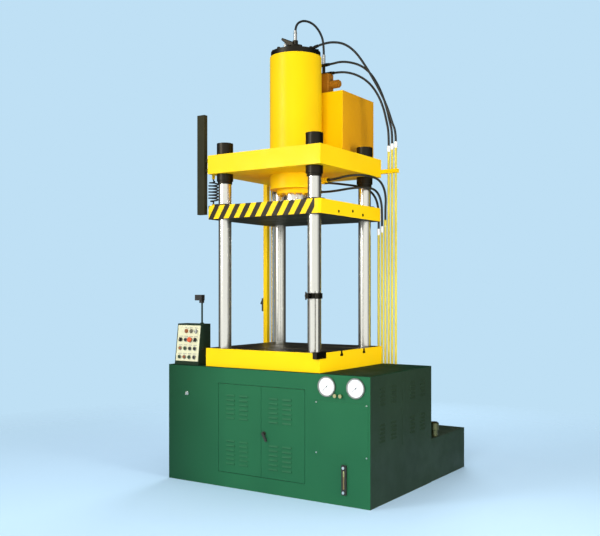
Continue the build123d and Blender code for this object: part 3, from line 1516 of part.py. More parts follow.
# Isolator knob on the electrical bay
with BuildPart() as isolator_knob:
    with BuildSketch(front_plane.offset(-sheet - 20)):
        with Locations((isolator_x, isolator_z)):
            Circle(stem_hole)
    extrude(amount=sheet + 20 + 10)
    with BuildSketch(front_plane.offset(fit_gap)):
        with Locations((isolator_x, isolator_z)):
            Circle(15)
    extrude(amount=7)
    with BuildSketch(front_plane.offset(7)):
        with Locations((isolator_x, isolator_z)):
            SlotOverall(26, 8, rotation=60)
    extrude(amount=12)
isolator_knob.part.label = "isolator_knob"
export_step(isolator_knob.part, "parts/isolator_knob.step")
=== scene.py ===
import json
import math

import bpy
from mathutils import Matrix, Vector

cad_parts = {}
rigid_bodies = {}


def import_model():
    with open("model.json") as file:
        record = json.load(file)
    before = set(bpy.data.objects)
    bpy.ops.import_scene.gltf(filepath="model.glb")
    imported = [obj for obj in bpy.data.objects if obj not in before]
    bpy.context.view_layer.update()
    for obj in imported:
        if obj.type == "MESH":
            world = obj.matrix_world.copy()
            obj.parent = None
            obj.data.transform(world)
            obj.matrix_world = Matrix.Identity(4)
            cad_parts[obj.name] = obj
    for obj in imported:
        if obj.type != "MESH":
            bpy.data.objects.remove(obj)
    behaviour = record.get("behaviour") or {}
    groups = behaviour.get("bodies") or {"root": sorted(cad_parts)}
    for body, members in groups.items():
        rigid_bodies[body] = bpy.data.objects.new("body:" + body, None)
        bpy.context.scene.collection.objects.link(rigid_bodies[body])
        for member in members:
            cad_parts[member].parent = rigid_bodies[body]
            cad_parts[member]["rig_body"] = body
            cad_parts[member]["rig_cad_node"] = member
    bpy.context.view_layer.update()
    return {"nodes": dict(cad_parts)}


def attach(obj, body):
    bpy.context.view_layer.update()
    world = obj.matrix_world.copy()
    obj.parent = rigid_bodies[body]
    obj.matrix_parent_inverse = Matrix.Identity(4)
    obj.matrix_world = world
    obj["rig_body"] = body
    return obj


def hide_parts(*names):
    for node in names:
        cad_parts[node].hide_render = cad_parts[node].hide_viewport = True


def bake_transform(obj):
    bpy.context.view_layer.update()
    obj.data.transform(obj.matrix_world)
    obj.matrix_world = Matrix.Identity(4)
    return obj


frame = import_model()
bpy.ops.object.select_all(action="DESELECT")


# Camera at the photograph's viewing angle
camera_place = (3.600, -5.444, 1.479)
camera_turn = math.atan2(0.5473, 0.8369)
camera_lens = 49.84
camera_shift = 0.0383

camera_data = bpy.data.cameras.new("press_camera")
camera_data.lens = camera_lens
camera_data.sensor_width = 36
camera_data.shift_y = camera_shift
camera_data.clip_end = 100
camera = bpy.data.objects.new("press_camera", camera_data)
camera.location = camera_place
camera.rotation_euler = (math.pi / 2, 0, camera_turn)
bpy.context.scene.collection.objects.link(camera)
bpy.context.scene.camera = camera
bpy.context.scene.view_settings.view_transform = "Standard"


# Finishes
class Finish:
    """A material and the few node steps that the press's finishes are made of."""

    def __init__(self, name, colour, roughness, metallic=0.0):
        self.material = bpy.data.materials.new(name)
        self.material.use_nodes = True
        self.nodes = self.material.node_tree.nodes
        self.links = self.material.node_tree.links
        self.shader = self.nodes["Principled BSDF"]
        self.shader.inputs["Base Color"].default_value = (*colour, 1)
        self.shader.inputs["Roughness"].default_value = roughness
        self.shader.inputs["Metallic"].default_value = metallic
        self.place = self.nodes.new("ShaderNodeTexCoord").outputs["Object"]

    def join(self, source, target):
        self.links.new(source, target)

    def stretched(self, stretch):
        """Object coordinates stretched along some axes."""
        mapping = self.nodes.new("ShaderNodeMapping")
        mapping.inputs["Scale"].default_value = stretch
        self.join(self.place, mapping.inputs["Vector"])
        return mapping.outputs["Vector"]

    def noise(self, scale, detail=3.0, stretch=None):
        texture = self.nodes.new("ShaderNodeTexNoise")
        texture.inputs["Scale"].default_value = scale
        texture.inputs["Detail"].default_value = detail
        self.join(self.stretched(stretch) if stretch else self.place, texture.inputs["Vector"])
        return texture.outputs["Fac"]

    def span(self, value, low, high, out_low=0.0, out_high=1.0):
        """A value's range brought to another range."""
        span = self.nodes.new("ShaderNodeMapRange")
        span.inputs["From Min"].default_value = low
        span.inputs["From Max"].default_value = high
        span.inputs["To Min"].default_value = out_low
        span.inputs["To Max"].default_value = out_high
        self.join(value, span.inputs["Value"])
        return span.outputs["Result"]

    def combine(self, operation, first, second):
        """One step of arithmetic on two values."""
        step = self.nodes.new("ShaderNodeMath")
        step.operation = operation
        for socket, value in zip(step.inputs, (first, second)):
            if isinstance(value, (int, float)):
                socket.default_value = value
            else:
                self.join(value, socket)
        return step.outputs["Value"]

    def axis(self, letter):
        split = self.nodes.new("ShaderNodeSeparateXYZ")
        self.join(self.place, split.inputs["Vector"])
        return split.outputs[letter]

    def upward(self):
        """How far a surface looks up."""
        shape = self.nodes.new("ShaderNodeNewGeometry")
        split = self.nodes.new("ShaderNodeSeparateXYZ")
        self.join(shape.outputs["Normal"], split.inputs["Vector"])
        return split.outputs["Z"]

    def mix(self, share, first, second):
        """A colour between two others."""
        mix = self.nodes.new("ShaderNodeMix")
        mix.data_type = "RGBA"
        self.join(share, mix.inputs[0])
        for socket, value in ((mix.inputs[6], first), (mix.inputs[7], second)):
            if isinstance(value, tuple):
                socket.default_value = (*value, 1)
            else:
                self.join(value, socket)
        return mix.outputs[2]

    def edges(self, radius):
        """One near the outer edges, and nought on flat faces."""
        worn = self.nodes.new("ShaderNodeBevel")
        worn.samples = 4
        worn.inputs["Radius"].default_value = radius
        shape = self.nodes.new("ShaderNodeNewGeometry")
        dot = self.nodes.new("ShaderNodeVectorMath")
        dot.operation = "DOT_PRODUCT"
        self.join(worn.outputs["Normal"], dot.inputs[0])
        self.join(shape.outputs["Normal"], dot.inputs[1])
        return self.span(dot.outputs["Value"], 0.995, 0.90)

    def colour(self, value):
        self.join(value, self.shader.inputs["Base Color"])

    def rough(self, value):
        self.join(value, self.shader.inputs["Roughness"])

    def bump(self, height, strength, distance=0.001):
        bump = self.nodes.new("ShaderNodeBump")
        bump.inputs["Strength"].default_value = strength
        bump.inputs["Distance"].default_value = distance
        self.join(height, bump.inputs["Height"])
        self.join(bump.outputs["Normal"], self.shader.inputs["Normal"])


dust_colour = (0.36, 0.34, 0.28)
steel_grime = (0.03, 0.026, 0.02)
cabinet_left = -0.874


def enamel(name, colour, shade, primer, roughness=0.38, chips=0.66, dust=0.05, gloss=0.16, painted_left_shade=0.0):
    """Sprayed machine enamel: faint orange peel, uneven depth, dust and chipped edges.

    painted_left_shade is how much painted shade darkens the enamel toward the cabinet's left end.
    """
    paint = Finish(name, colour, roughness)
    cloudy = paint.span(paint.noise(1.7, 2.0), 0.35, 0.68)
    body = paint.mix(cloudy, colour, shade)
    # Painted shade: the enamel darkens toward the cabinet's left end, standing in for less light falling
    # there.
    if painted_left_shade:
        left_shade_share = paint.span(paint.axis("X"), cabinet_left, -0.30, painted_left_shade, 0.0)
        body = paint.mix(left_shade_share, body, tuple(value * 0.42 for value in shade))
    lying = paint.span(paint.upward(), 0.6, 0.95)
    settled = paint.combine("MULTIPLY", lying, paint.span(paint.noise(7, 5.0), 0.35, 0.75))
    dusty = paint.mix(paint.combine("MULTIPLY", settled, dust), body, dust_colour)
    specks = paint.span(paint.noise(160, 4.0), chips, chips + 0.03)
    worn = paint.combine("MULTIPLY", specks, paint.edges(0.004))
    paint.colour(paint.mix(worn, dusty, primer))
    paint.rough(paint.span(paint.noise(9, 5.0), 0.3, 0.7, roughness - 0.06, roughness + 0.09))
    paint.bump(paint.noise(420, 1.0), 0.10, 0.0004)
    paint.shader.inputs["Specular IOR Level"].default_value = gloss
    return paint


def ground_steel(name, colour, roughness, along, streak, grime=0.0, relief=0.05, wander=(-0.04, 0.10)):
    """Ground or turned steel with fine marks along one way, and oily grime in patches."""
    steel = Finish(name, colour, roughness, 1.0)
    marks = steel.noise(streak, 3.0, along)
    patches = steel.span(steel.noise(11, 4.0), 0.48, 0.72, 0.0, grime)
    steel.colour(steel.mix(patches, colour, steel_grime))
    steel.rough(steel.span(marks, 0.3, 0.7, roughness + wander[0], roughness + wander[1]))
    if relief:
        steel.bump(marks, relief, 0.0003)
    return steel


def moulded(name, colour, roughness):
    """Moulded plastic or rubber with a fine grain."""
    plastic = Finish(name, colour, roughness)
    lighter = tuple(min(1.0, value * 1.35 + 0.004) for value in colour)
    plastic.colour(plastic.mix(plastic.span(plastic.noise(24, 4.0), 0.4, 0.8), colour, lighter))
    plastic.rough(plastic.span(plastic.noise(60, 3.0), 0.3, 0.7, roughness - 0.06, roughness + 0.08))
    plastic.bump(plastic.noise(900, 1.0), 0.08, 0.0002)
    return plastic


yellow = (0.93, 0.62, 0.003)
yellow_shade = (0.91, 0.58, 0.003)
yellow_primer = (0.35, 0.24, 0.08)
yellow_enamel = enamel("yellow_enamel", yellow, yellow_shade, yellow_primer)
# Painted shade: a deeper orange copy of the yellow enamel for the filling tank's right side.
tank_side_shade_enamel = enamel("tank_side_shade_enamel", (0.78, 0.38, 0.004), (0.66, 0.30, 0.004), yellow_primer)
pipe_enamel = enamel("pipe_enamel", (0.66, 0.58, 0.09), (0.60, 0.50, 0.07), (0.30, 0.28, 0.20), 0.34)
# The front green is given painted shade toward the cabinet's left end.
green_enamel = enamel(
    "green_enamel", (0.019, 0.122, 0.052), (0.016, 0.106, 0.046), (0.09, 0.15, 0.11),
    roughness=0.40, chips=0.68, dust=0.05, gloss=0.12, painted_left_shade=0.9,
)
# Dark green enamel: the oil tank's and console body's own colour, and painted shade on the cabinet's sides,
# rear cover, side louvres and seam, which carry the front's paint made darker.
dark_green_and_side_shade = enamel(
    "dark_green_enamel", (0.017, 0.034, 0.020), (0.014, 0.028, 0.017), (0.07, 0.09, 0.06),
    roughness=0.44, chips=0.68, dust=0.04, gloss=0.08,
)
# Painted shade: a darker, duller copy of the front's green for the cabinet's top.
shaded_top_green = enamel(
    "top_green_enamel", (0.005, 0.030, 0.015), (0.004, 0.025, 0.013), (0.04, 0.07, 0.05),
    roughness=0.60, chips=0.68, dust=0.02, gloss=0.02,
)
black_enamel = enamel(
    "black_enamel", (0.034, 0.032, 0.016), (0.026, 0.025, 0.014), (0.10, 0.09, 0.07),
    roughness=0.52, chips=0.68, dust=0.04, gloss=0.05,
)
orange_enamel = enamel(
    "orange_enamel", (0.36, 0.150, 0.012), (0.27, 0.100, 0.010), (0.12, 0.08, 0.05), roughness=0.45,
)
grey_enamel = enamel("grey_enamel", (0.20, 0.22, 0.23), (0.16, 0.18, 0.19), (0.08, 0.08, 0.08), 0.42)
cream_enamel = enamel("cream_enamel", (0.74, 0.72, 0.48), (0.68, 0.65, 0.43), (0.3, 0.28, 0.2), 0.42, 0.72)
chrome = ground_steel(
    "hard_chrome", (0.93, 0.915, 0.86), 0.22, (1, 1, 0.2), 12, relief=0.0, wander=(-0.01, 0.02),
)
black_steel = ground_steel("blackened_steel", (0.040, 0.036, 0.028), 0.40, (1, 1, 6), 160, 0.4)
bright_steel = ground_steel("bright_steel", (0.76, 0.76, 0.73), 0.24, (1, 1, 1), 260, 0.12)
bezel_steel = ground_steel("bezel_steel", (0.34, 0.35, 0.33), 0.34, (1, 1, 1), 320)
machined_steel = ground_steel("machined_steel", (0.100, 0.092, 0.068), 0.42, (0.02, 1, 1), 500, 0.6)
brass = ground_steel("turned_brass", (0.62, 0.58, 0.30), 0.28, (1, 1, 1), 260, 0.2)
aged_brass = ground_steel("aged_brass", (0.21, 0.21, 0.10), 0.42, (1, 1, 1), 120, 0.9)
black_rubber = moulded("hose_rubber", (0.012, 0.013, 0.012), 0.42)
black_plastic = moulded("black_plastic", (0.016, 0.014, 0.012), 0.34)
red_plastic = moulded("red_plastic", (0.62, 0.085, 0.020), 0.30)
brown_lens = moulded("brown_lens", (0.26, 0.085, 0.030), 0.22)
grey_lens = moulded("grey_lens", (0.13, 0.12, 0.085), 0.24)
green_plastic = moulded("green_plastic", (0.016, 0.040, 0.014), 0.30)
pale_plate = moulded("pale_plate", (0.40, 0.39, 0.30), 0.36)
white_dial = moulded("white_dial", (0.88, 0.88, 0.86), 0.45)
dial_ink = moulded("dial_ink", (0.020, 0.020, 0.022), 0.5)
white_mark = moulded("white_mark", (0.80, 0.80, 0.76), 0.4)


def warning_stripes():
    """Yellow enamel with black slanting stripes painted along the platen's front."""
    pitch = 0.0990
    slant = 0.62
    black_share = 0.50
    first_start = 3.8428
    last_edge = 0.464
    stripe_black = (0.020, 0.014, 0.005)
    paint = enamel("striped_enamel", yellow, yellow_shade, yellow_primer)
    along = paint.combine("SUBTRACT", paint.axis("X"), paint.combine("MULTIPLY", paint.axis("Z"), slant))
    started = paint.combine("ADD", along, first_start)
    turn = paint.combine("FRACT", paint.combine("DIVIDE", started, pitch), 0)
    ragged = paint.combine("MULTIPLY", paint.combine("SUBTRACT", paint.noise(60, 3.0), 0.5), 0.05)
    slanting = paint.combine("LESS_THAN", paint.combine("ADD", turn, ragged), black_share)
    black = paint.combine("MULTIPLY", slanting, paint.combine("LESS_THAN", paint.axis("X"), last_edge))
    old = paint.shader.inputs["Base Color"].links[0].from_socket
    paint.colour(paint.mix(black, old, stripe_black))
    return paint


striped_enamel = warning_stripes()


def clear_glass():
    """Thin clear glass over a dial."""
    glass = Finish("dial_glass", (1.0, 1.0, 1.0), 0.05)
    glass.rough(glass.span(glass.noise(14, 3.0), 0.3, 0.7, 0.03, 0.09))
    glass.shader.inputs["Alpha"].default_value = 0.12
    return glass


def oil_glass():
    """Level tube: clear above, amber oil below."""
    oil_height = 0.205
    glass = Finish("oil_glass", (0.2, 0.16, 0.07), 0.10)
    below = glass.span(glass.axis("Z"), oil_height - 0.002, oil_height + 0.002)
    glass.colour(glass.mix(below, (0.15, 0.115, 0.045), (0.24, 0.26, 0.11)))
    glass.rough(glass.span(glass.noise(30, 3.0), 0.3, 0.7, 0.06, 0.16))
    return glass


dial_glass = clear_glass()
level_glass = oil_glass()


# Modelling steps
def only(piece):
    """Leaves one piece selected and active."""
    bpy.ops.object.select_all(action="DESELECT")
    piece.select_set(True)
    bpy.context.view_layer.objects.active = piece


def begin(add, name, **values):
    """A piece's first shape, from one of the primitives."""
    bpy.ops.object.select_all(action="DESELECT")
    add(**values)
    piece = bpy.context.active_object
    piece.name = name
    piece.data.name = name
    return piece


def settle(piece):
    """Brings a piece's place, turn and scale into its mesh."""
    only(piece)
    bpy.ops.object.transform_apply(location=True, rotation=True, scale=True)


def weigh(piece, angle=35):
    """Shades the piece smooth between its sharp edges, and keeps its large faces flat."""
    only(piece)
    bpy.ops.object.shade_smooth_by_angle(angle=math.radians(angle))
    weighted = piece.modifiers.new("weigh", "WEIGHTED_NORMAL")
    weighted.keep_sharp = True
    bpy.ops.object.modifier_apply(modifier="weigh")


def soften(piece, width, segments=2, angle=35):
    """Rounds the sharp edges."""
    only(piece)
    bevel = piece.modifiers.new("soften", "BEVEL")
    bevel.width = width
    bevel.segments = segments
    bevel.limit_method = "ANGLE"
    bevel.angle_limit = math.radians(angle)
    bevel.use_clamp_overlap = True
    bpy.ops.object.modifier_apply(modifier="soften")


def give(piece, body, finish):
    """Sets a piece's finish and the body that it rides on."""
    piece.data.materials.clear()
    piece.data.materials.append(finish.material)
    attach(piece, body)
    return piece


def add_finishes(piece, others):
    """others holds (finish, test) pairs: a face goes to the last finish whose test it passes."""
    for other, test in others:
        number = len(piece.data.materials)
        piece.data.materials.append(other.material)
        for face in piece.data.polygons:
            if test(face.center, face.normal):
                face.material_index = number


def pick(piece, kind, test):
    """Selects the piece's vertices or faces that pass a test, and enters edit mode."""
    only(piece)
    bpy.ops.object.mode_set(mode="EDIT")
    bpy.context.tool_settings.mesh_select_mode = (kind == "vertices", False, kind == "polygons")
    bpy.ops.mesh.select_all(action="DESELECT")
    bpy.ops.object.mode_set(mode="OBJECT")
    for part in getattr(piece.data, kind):
        place = part.co if kind == "vertices" else part.center
        part.select = test(place, part.normal)
    bpy.ops.object.mode_set(mode="EDIT")


def done():
    """Leaves edit mode."""
    bpy.ops.object.mode_set(mode="OBJECT")


def turned(name, profile, place, direction, sides=24):
    """A turned piece: a round face drawn out along its axis through (height, radius) steps."""
    height, radius = profile[0]
    piece = begin(
        bpy.ops.mesh.primitive_circle_add, name,
        vertices=sides, radius=radius, fill_type="NGON", location=(0, 0, height),
    )
    settle(piece)
    bpy.ops.object.mode_set(mode="EDIT")
    bpy.context.tool_settings.mesh_select_mode = (False, False, True)
    bpy.ops.mesh.select_all(action="SELECT")
    for next_height, next_radius in profile[1:]:
        bpy.ops.mesh.extrude_region_move(TRANSFORM_OT_translate={"value": (0, 0, next_height - height)})
        share = next_radius / radius
        bpy.ops.transform.resize(value=(share, share, 1), center_override=(0, 0, next_height))
        height = next_height
        radius = next_radius
    bpy.ops.mesh.select_all(action="SELECT")
    bpy.ops.mesh.normals_make_consistent(inside=False)
    done()
    piece.location = place
    piece.rotation_euler = Vector(direction).to_track_quat("Z", "Y").to_euler()
    settle(piece)
    return piece


def plate(name, low, high, inset=0.0, rise=0.0, face=(0, 0, 1)):
    """A plate between two corners, whose outer face is stepped in and raised."""
    size = [b - a for a, b in zip(low, high)]
    middle = [(a + b) / 2 for a, b in zip(low, high)]
    piece = begin(bpy.ops.mesh.primitive_cube_add, name, size=1, location=middle)
    piece.scale = size
    settle(piece)
    if inset:
        outward = Vector(face)
        pick(piece, "polygons", lambda centre, normal: normal.dot(outward) > 0.9)
        bpy.ops.mesh.inset(thickness=inset)
        bpy.ops.transform.translate(value=outward * rise)
        done()
    return piece


def copy_of(piece, name):
    """A copy with its own mesh."""
    twin = piece.copy()
    twin.data = piece.data.copy()
    twin.name = name
    twin.data.name = name
    bpy.context.scene.collection.objects.link(twin)
    return twin


def repeated(piece, shifts):
    """Copies of a piece joined into one with it."""
    only(piece)
    for shift in shifts:
        twin = copy_of(piece, piece.name)
        twin.location = shift
        twin.select_set(True)
    bpy.context.view_layer.objects.active = piece
    bpy.ops.object.join()
    settle(piece)
    return piece


def joined(name, pieces):
    """Several pieces made one."""
    only(pieces[0])
    for piece in pieces[1:]:
        piece.select_set(True)
    bpy.ops.object.join()
    pieces[0].name = name
    pieces[0].data.name = name
    return pieces[0]


def dressed(node, finish, width=0.0012, segments=2, others=()):
    """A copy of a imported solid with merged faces, softened edges and its finishes."""
    piece = copy_of(frame["nodes"][node], node + "_finished")
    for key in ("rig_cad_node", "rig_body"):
        if key in piece:
            del piece[key]
    piece.parent = None
    only(piece)
    if piece.data.has_custom_normals:
        bpy.ops.mesh.customdata_custom_splitnormals_clear()
    bpy.ops.object.mode_set(mode="EDIT")
    bpy.ops.mesh.select_all(action="SELECT")
    bpy.ops.mesh.remove_doubles(threshold=0.00002)
    bpy.ops.mesh.dissolve_limited(angle_limit=math.radians(0.6))
    done()
    if width:
        soften(piece, width, segments)
    weigh(piece)
    give(piece, frame["nodes"][node]["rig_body"], finish)
    add_finishes(piece, others)
    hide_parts(node)
    return piece


# Hoses: the routes' points, as control points of smooth lines
hose_diameter = 0.018
hose_points = {
    "hose_cover_loop": (
        (-0.004, 0, 3.500), (-0.004, 0, 3.545), (0.002, 0.031, 3.597), (0.022, 0.100, 3.628),
        (0.050, 0.183, 3.618), (0.068, 0.255, 3.566), (0.074, 0.300, 3.492), (0.074, 0.300, 3.392),
    ),
    "hose_cover_long": (
        (0.168, 0.020, 3.374), (0.212, 0.060, 3.402), (0.262, 0.132, 3.426), (0.322, 0.205, 3.422),
        (0.384, 0.272, 3.366), (0.442, 0.338, 3.254), (0.494, 0.388, 3.138), (0.540, 0.426, 3.030),
        (0.578, 0.452, 2.922), (0.607, 0.468, 2.814), (0.634, 0.477, 2.742), (0.634, 0.477, 2.662),
    ),
    "hose_tee": (
        (0.104, 0.300, 3.309), (0.150, 0.300, 3.309), (0.218, 0.326, 3.324), (0.296, 0.362, 3.314),
        (0.370, 0.400, 3.284), (0.432, 0.434, 3.224), (0.482, 0.460, 3.134), (0.524, 0.472, 3.032),
        (0.556, 0.477, 2.930), (0.582, 0.477, 2.820), (0.602, 0.477, 2.744), (0.602, 0.477, 2.648),
    ),
    "hose_valve": (
        (0.149, 0.300, 3.234), (0.200, 0.300, 3.234), (0.272, 0.324, 3.231), (0.346, 0.362, 3.207),
        (0.408, 0.406, 3.164), (0.458, 0.438, 3.102), (0.500, 0.462, 3.018), (0.530, 0.474, 2.930),
        (0.552, 0.477, 2.834), (0.572, 0.477, 2.743), (0.572, 0.477, 2.633),
    ),
    "hose_right_port": (
        (0.290, 0, 2.330), (0.352, 0, 2.330), (0.436, 0.024, 2.352), (0.504, 0.088, 2.364),
        (0.542, 0.176, 2.366), (0.551, 0.272, 2.362), (0.554, 0.366, 2.344), (0.551, 0.440, 2.294),
        (0.547, 0.477, 2.218), (0.542, 0.477, 2.141), (0.542, 0.477, 2.045),
    ),
    "hose_gland_port": (
        (0.16767, 0.07818, 2.2525), (0.22114, 0.10312, 2.2525), (0.308, 0.146, 2.264),
        (0.390, 0.200, 2.282), (0.456, 0.274, 2.290), (0.490, 0.366, 2.290), (0.502, 0.440, 2.254),
        (0.509, 0.477, 2.178), (0.512, 0.477, 2.085), (0.512, 0.477, 1.995),
    ),
    "hose_rear_port": (
        (0.1275, 0.22084, 2.345), (0.1725, 0.29878, 2.345), (0.224, 0.376, 2.340),
        (0.300, 0.442, 2.330), (0.386, 0.478, 2.302), (0.446, 0.488, 2.240), (0.474, 0.486, 2.152),
        (0.482, 0.477, 2.068), (0.482, 0.477, 1.976),
    ),
}


def smooth_line(name, points):
    """A NURBS curve with these control points, in metres."""
    data = bpy.data.curves.new(name, "CURVE")
    data.dimensions = "3D"
    data.resolution_u = 12
    line = data.splines.new("NURBS")
    line.points.add(len(points) - 1)
    for point, place in zip(line.points, points):
        point.co = (*place, 1)
    line.order_u = 3
    line.use_endpoint_u = True
    curve = bpy.data.objects.new(name, data)
    bpy.context.scene.collection.objects.link(curve)
    return curve


def points_along(curve):
    """The points that a bare curve follows."""
    mesh = bpy.data.meshes.new_from_object(curve.evaluated_get(bpy.context.evaluated_depsgraph_get()))
    places = [vertex.co.copy() for vertex in mesh.vertices]
    bpy.data.meshes.remove(mesh)
    return places


def run_of(places):
    """The length of the line through these places."""
    return sum((b - a).length for a, b in zip(places, places[1:]))


# Crimped collar and nut at a hose's end: (height, radius) from the union outwards
nut_profile = ((-0.002, 0.0125), (-0.001, 0.0140), (0.007, 0.0140), (0.008, 0.0125))
crimp_profile = (
    (0.008, 0.0105), (0.009, 0.0122), (0.012, 0.0122), (0.0124, 0.0115), (0.0142, 0.0115),
    (0.0146, 0.0122), (0.018, 0.0122), (0.0184, 0.0115), (0.0202, 0.0115), (0.0206, 0.0122),
    (0.024, 0.0122), (0.025, 0.0105),
)

first_nut = turned("first_nut", nut_profile, (0, 0, 0), (0, 0, 1), 6)
first_crimp = turned("first_crimp", crimp_profile, (0, 0, 0), (0, 0, 1), 20)
first_fitting = joined("first_fitting", [first_nut, first_crimp])
soften(first_fitting, 0.0003, 1)
weigh(first_fitting, 40)

for node, points in hose_points.items():
    hose = smooth_line(node + "_line", points)
    bpy.context.view_layer.update()
    length = run_of(points_along(hose))
    hose.data.bevel_depth = hose_diameter / 2
    hose.data.bevel_resolution = 6
    hose.data.use_fill_caps = True
    give(hose, "frame", black_rubber)
    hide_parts(node)
    fitting = copy_of(first_fitting, node + "_fitting")
    fitting.location = points[0]
    fitting.rotation_euler = (Vector(points[1]) - Vector(points[0])).to_track_quat("Z", "Y").to_euler()
    settle(fitting)
    if node == "hose_cover_loop":
        give(fitting, "frame", bright_steel)
    else:
        give(fitting, "frame", black_steel)
bpy.data.objects.remove(first_fitting)


# Curly cord: a helix on the cord's own line
curl_x = -0.556
curl_y = -0.335
curl_top = 2.360
curl_bottom = 2.163
curl_wire = 0.011
curl_radius = 0.037
curl_turns = 7
curl_steps = 14
curl_tail = 0.014
curl_fade = 14

curl_points = [(curl_x, curl_y, curl_top), (curl_x, curl_y, curl_top - curl_tail)]
curl_count = curl_turns * curl_steps
curl_drop = curl_top - curl_bottom - 2 * curl_tail
for step in range(1, curl_count):
    turn = 2 * math.pi * step / curl_steps
    grown = min(1.0, step / curl_fade, (curl_count - step) / curl_fade)
    reach = curl_radius * math.sin(grown * math.pi / 2)
    curl_points.append((
        curl_x + reach * math.cos(turn),
        curl_y + reach * math.sin(turn),
        curl_top - curl_tail - curl_drop * step / curl_count,
    ))
curl_points.append((curl_x, curl_y, curl_bottom + curl_tail))
curl_points.append((curl_x, curl_y, curl_bottom))
curl_line = smooth_line("curly_cord_line", curl_points)
curl_line.data.resolution_u = 3
bpy.context.view_layer.update()
curl_path = points_along(curl_line)
curl_line.data.bevel_depth = curl_wire / 2
curl_line.data.bevel_resolution = 3
curl_line.data.use_fill_caps = True
only(curl_line)
bpy.ops.object.convert(target="MESH")
curly_cord = bpy.context.active_object
curly_cord.name = "curly_cord_coil"
curly_cord.data.materials.clear()
curly_cord.data.materials.append(black_rubber.material)
for face in curly_cord.data.polygons:
    face.use_smooth = True
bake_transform(curly_cord)
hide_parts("curly_cord")
run_of(curl_path)


# Console face: places across it, up along it and out from it
console_foot = Vector((-0.728, -0.461, 0.900))
console_tilt = math.radians(7.2)
console_up = Vector((0, math.sin(console_tilt), math.cos(console_tilt)))
console_out = Vector((0, -math.cos(console_tilt), math.sin(console_tilt)))
column_places = (-0.075, -0.025, 0.025, 0.075)
row_places = (0.0595, 0.1275, 0.1955, 0.2635)


def on_console(across, up, out):
    """A place on the console, from the foot of its face."""
    return console_foot + Vector((across, 0, 0)) + up * console_up + out * console_out


def standing_out(height):
    """A test for faces that stand out from the console's face by more than a height."""
    return lambda centre, normal: (centre - console_foot).dot(console_out) > height


def lamp(column, row, reach, height):
    """A test for the faces of the lamp in that column and row."""
    foot = on_console(column_places[column], row_places[row], 0)

    def test(centre, normal):
        offset = centre - foot
        out = offset.dot(console_out)
        return out > height and (offset - out * console_out).length < reach

    return test


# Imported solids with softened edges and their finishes
def faces_down(centre, normal):
    return normal.z < -0.7


def faces_front(centre, normal):
    return normal.y < -0.7


# The cabinet's right, back and left faces, which take painted shade in the darker green.
def cabinet_side(centre, normal):
    right = centre.x > 0.92 and normal.x > 0.3
    back = centre.y > 0.47 and normal.y > 0.3
    left = centre.x < -0.86 and normal.x < -0.3
    return right or back or left


bed_face = 1.0395
slot_lowest = 0.99
slot_place = 0.17
slot_reach = 0.0196


def bed_top(centre, normal):
    return centre.z > bed_face and normal.z > 0.9


def bed_slots(centre, normal):
    return slot_lowest < centre.z < bed_face and abs(abs(centre.y) - slot_place) < slot_reach


gauge_places = ((0.592, 0.814), (0.823, 0.814))
dial_radius = 0.062


def dial_floor(centre, normal):
    return normal.y < -0.9 and -0.5065 < centre.y < -0.5055 and any(
        math.hypot(centre.x - x, centre.z - z) < dial_radius for x, z in gauge_places
    )


def gauge_valves(centre, normal):
    return centre.z < 0.775 and centre.y > -0.5


def level_screws(centre, normal):
    return centre.y < -0.5164


level_x = 0.733


def level_floor(centre, normal):
    return centre.y > -0.5085 and normal.y < -0.9 and abs(centre.x - level_x) < 0.0072


# The tank's right faces, which take painted shade in the deeper orange.
def right_side(centre, normal):
    return normal.x > 0.7


def pipe_unions(centre, normal):
    """The unions at the tops of the long and of the short pipes."""
    long_pipe_union = centre.z > 2.57
    short_pipe_union = 1.90 < centre.z < 1.998 and centre.x < 0.56
    return long_pipe_union or short_pipe_union


def switch_body(centre, normal):
    return centre.x < -0.5762 and 1.25 < centre.z < 1.50


def thread_ends(centre, normal):
    return centre.z > 2.60 and normal.z > 0.5


def cover_plug(centre, normal):
    return 3.3472 < centre.z < 3.40 and centre.x < -0.12


def cover_union(centre, normal):
    return centre.z > 3.462 and abs(centre.x) < 0.03


def tee_pipe(centre, normal):
    return centre.z > 3.228


def tee_union(centre, normal):
    return centre.z > 3.330


def corner_block(centre, normal):
    return centre.x > 0.48 and centre.z < 1.0505


def panel_screws(centre, normal):
    return centre.y < -0.5036


def stalk_switch(centre, normal):
    return centre.z > 1.3835


dressed("crown", yellow_enamel, 0.004, 3)
dressed("cylinder", yellow_enamel, 0.0015)
dressed("filling_tank", yellow_enamel, 0.003, 3, [(tank_side_shade_enamel, right_side)])
dressed("riser_pipes", pipe_enamel, 0.0008, 2, [(white_mark, pipe_unions)])
dressed("pipe_clamp", yellow_enamel, 0.0012)
dressed("switch_post", yellow_enamel, 0.002, 2, [(black_plastic, switch_body)])
dressed(
    "bed_table", yellow_enamel, 0.0015, 2,
    [(machined_steel, bed_top), (machined_steel, bed_slots)],
)
dressed(
    "platen", yellow_enamel, 0.0025, 3,
    [(striped_enamel, faces_front), (black_enamel, faces_down)],
)
dressed("columns", chrome, 0.0015, 2, [(black_steel, thread_ends)])
dressed("ram", chrome, 0.0012)
dressed("column_nuts", black_steel, 0.0015)
dressed("guide_bushes", black_steel, 0.0008)
cover = dressed(
    "cylinder_head", black_steel, 0.0012, 2,
    [(bright_steel, cover_plug), (bright_steel, cover_union)],
)

# The lever on the cover is a flat bar, thinner than its solid and turned up a little
lever_root = Vector((-0.010, 0, 3.409))
lever_up = Vector((0.4, 0, 1.0)).normalized()
lever_along = Vector((-1.0, 0, 0.4)).normalized()
lever_hub_reach = 0.034
lever_hub_top = 3.4085
lever_half_height = 0.03
lever_share = 0.42
lever_rise = 0.26
for vertex in cover.data.vertices:
    offset = vertex.co - lever_root
    out = offset.dot(lever_up)
    past_hub = offset.dot(lever_along) - lever_hub_reach
    if past_hub > 0 and vertex.co.z > lever_hub_top and abs(out) < lever_half_height:
        vertex.co -= out * (1 - lever_share) * lever_up
        vertex.co.z += lever_rise * past_hub

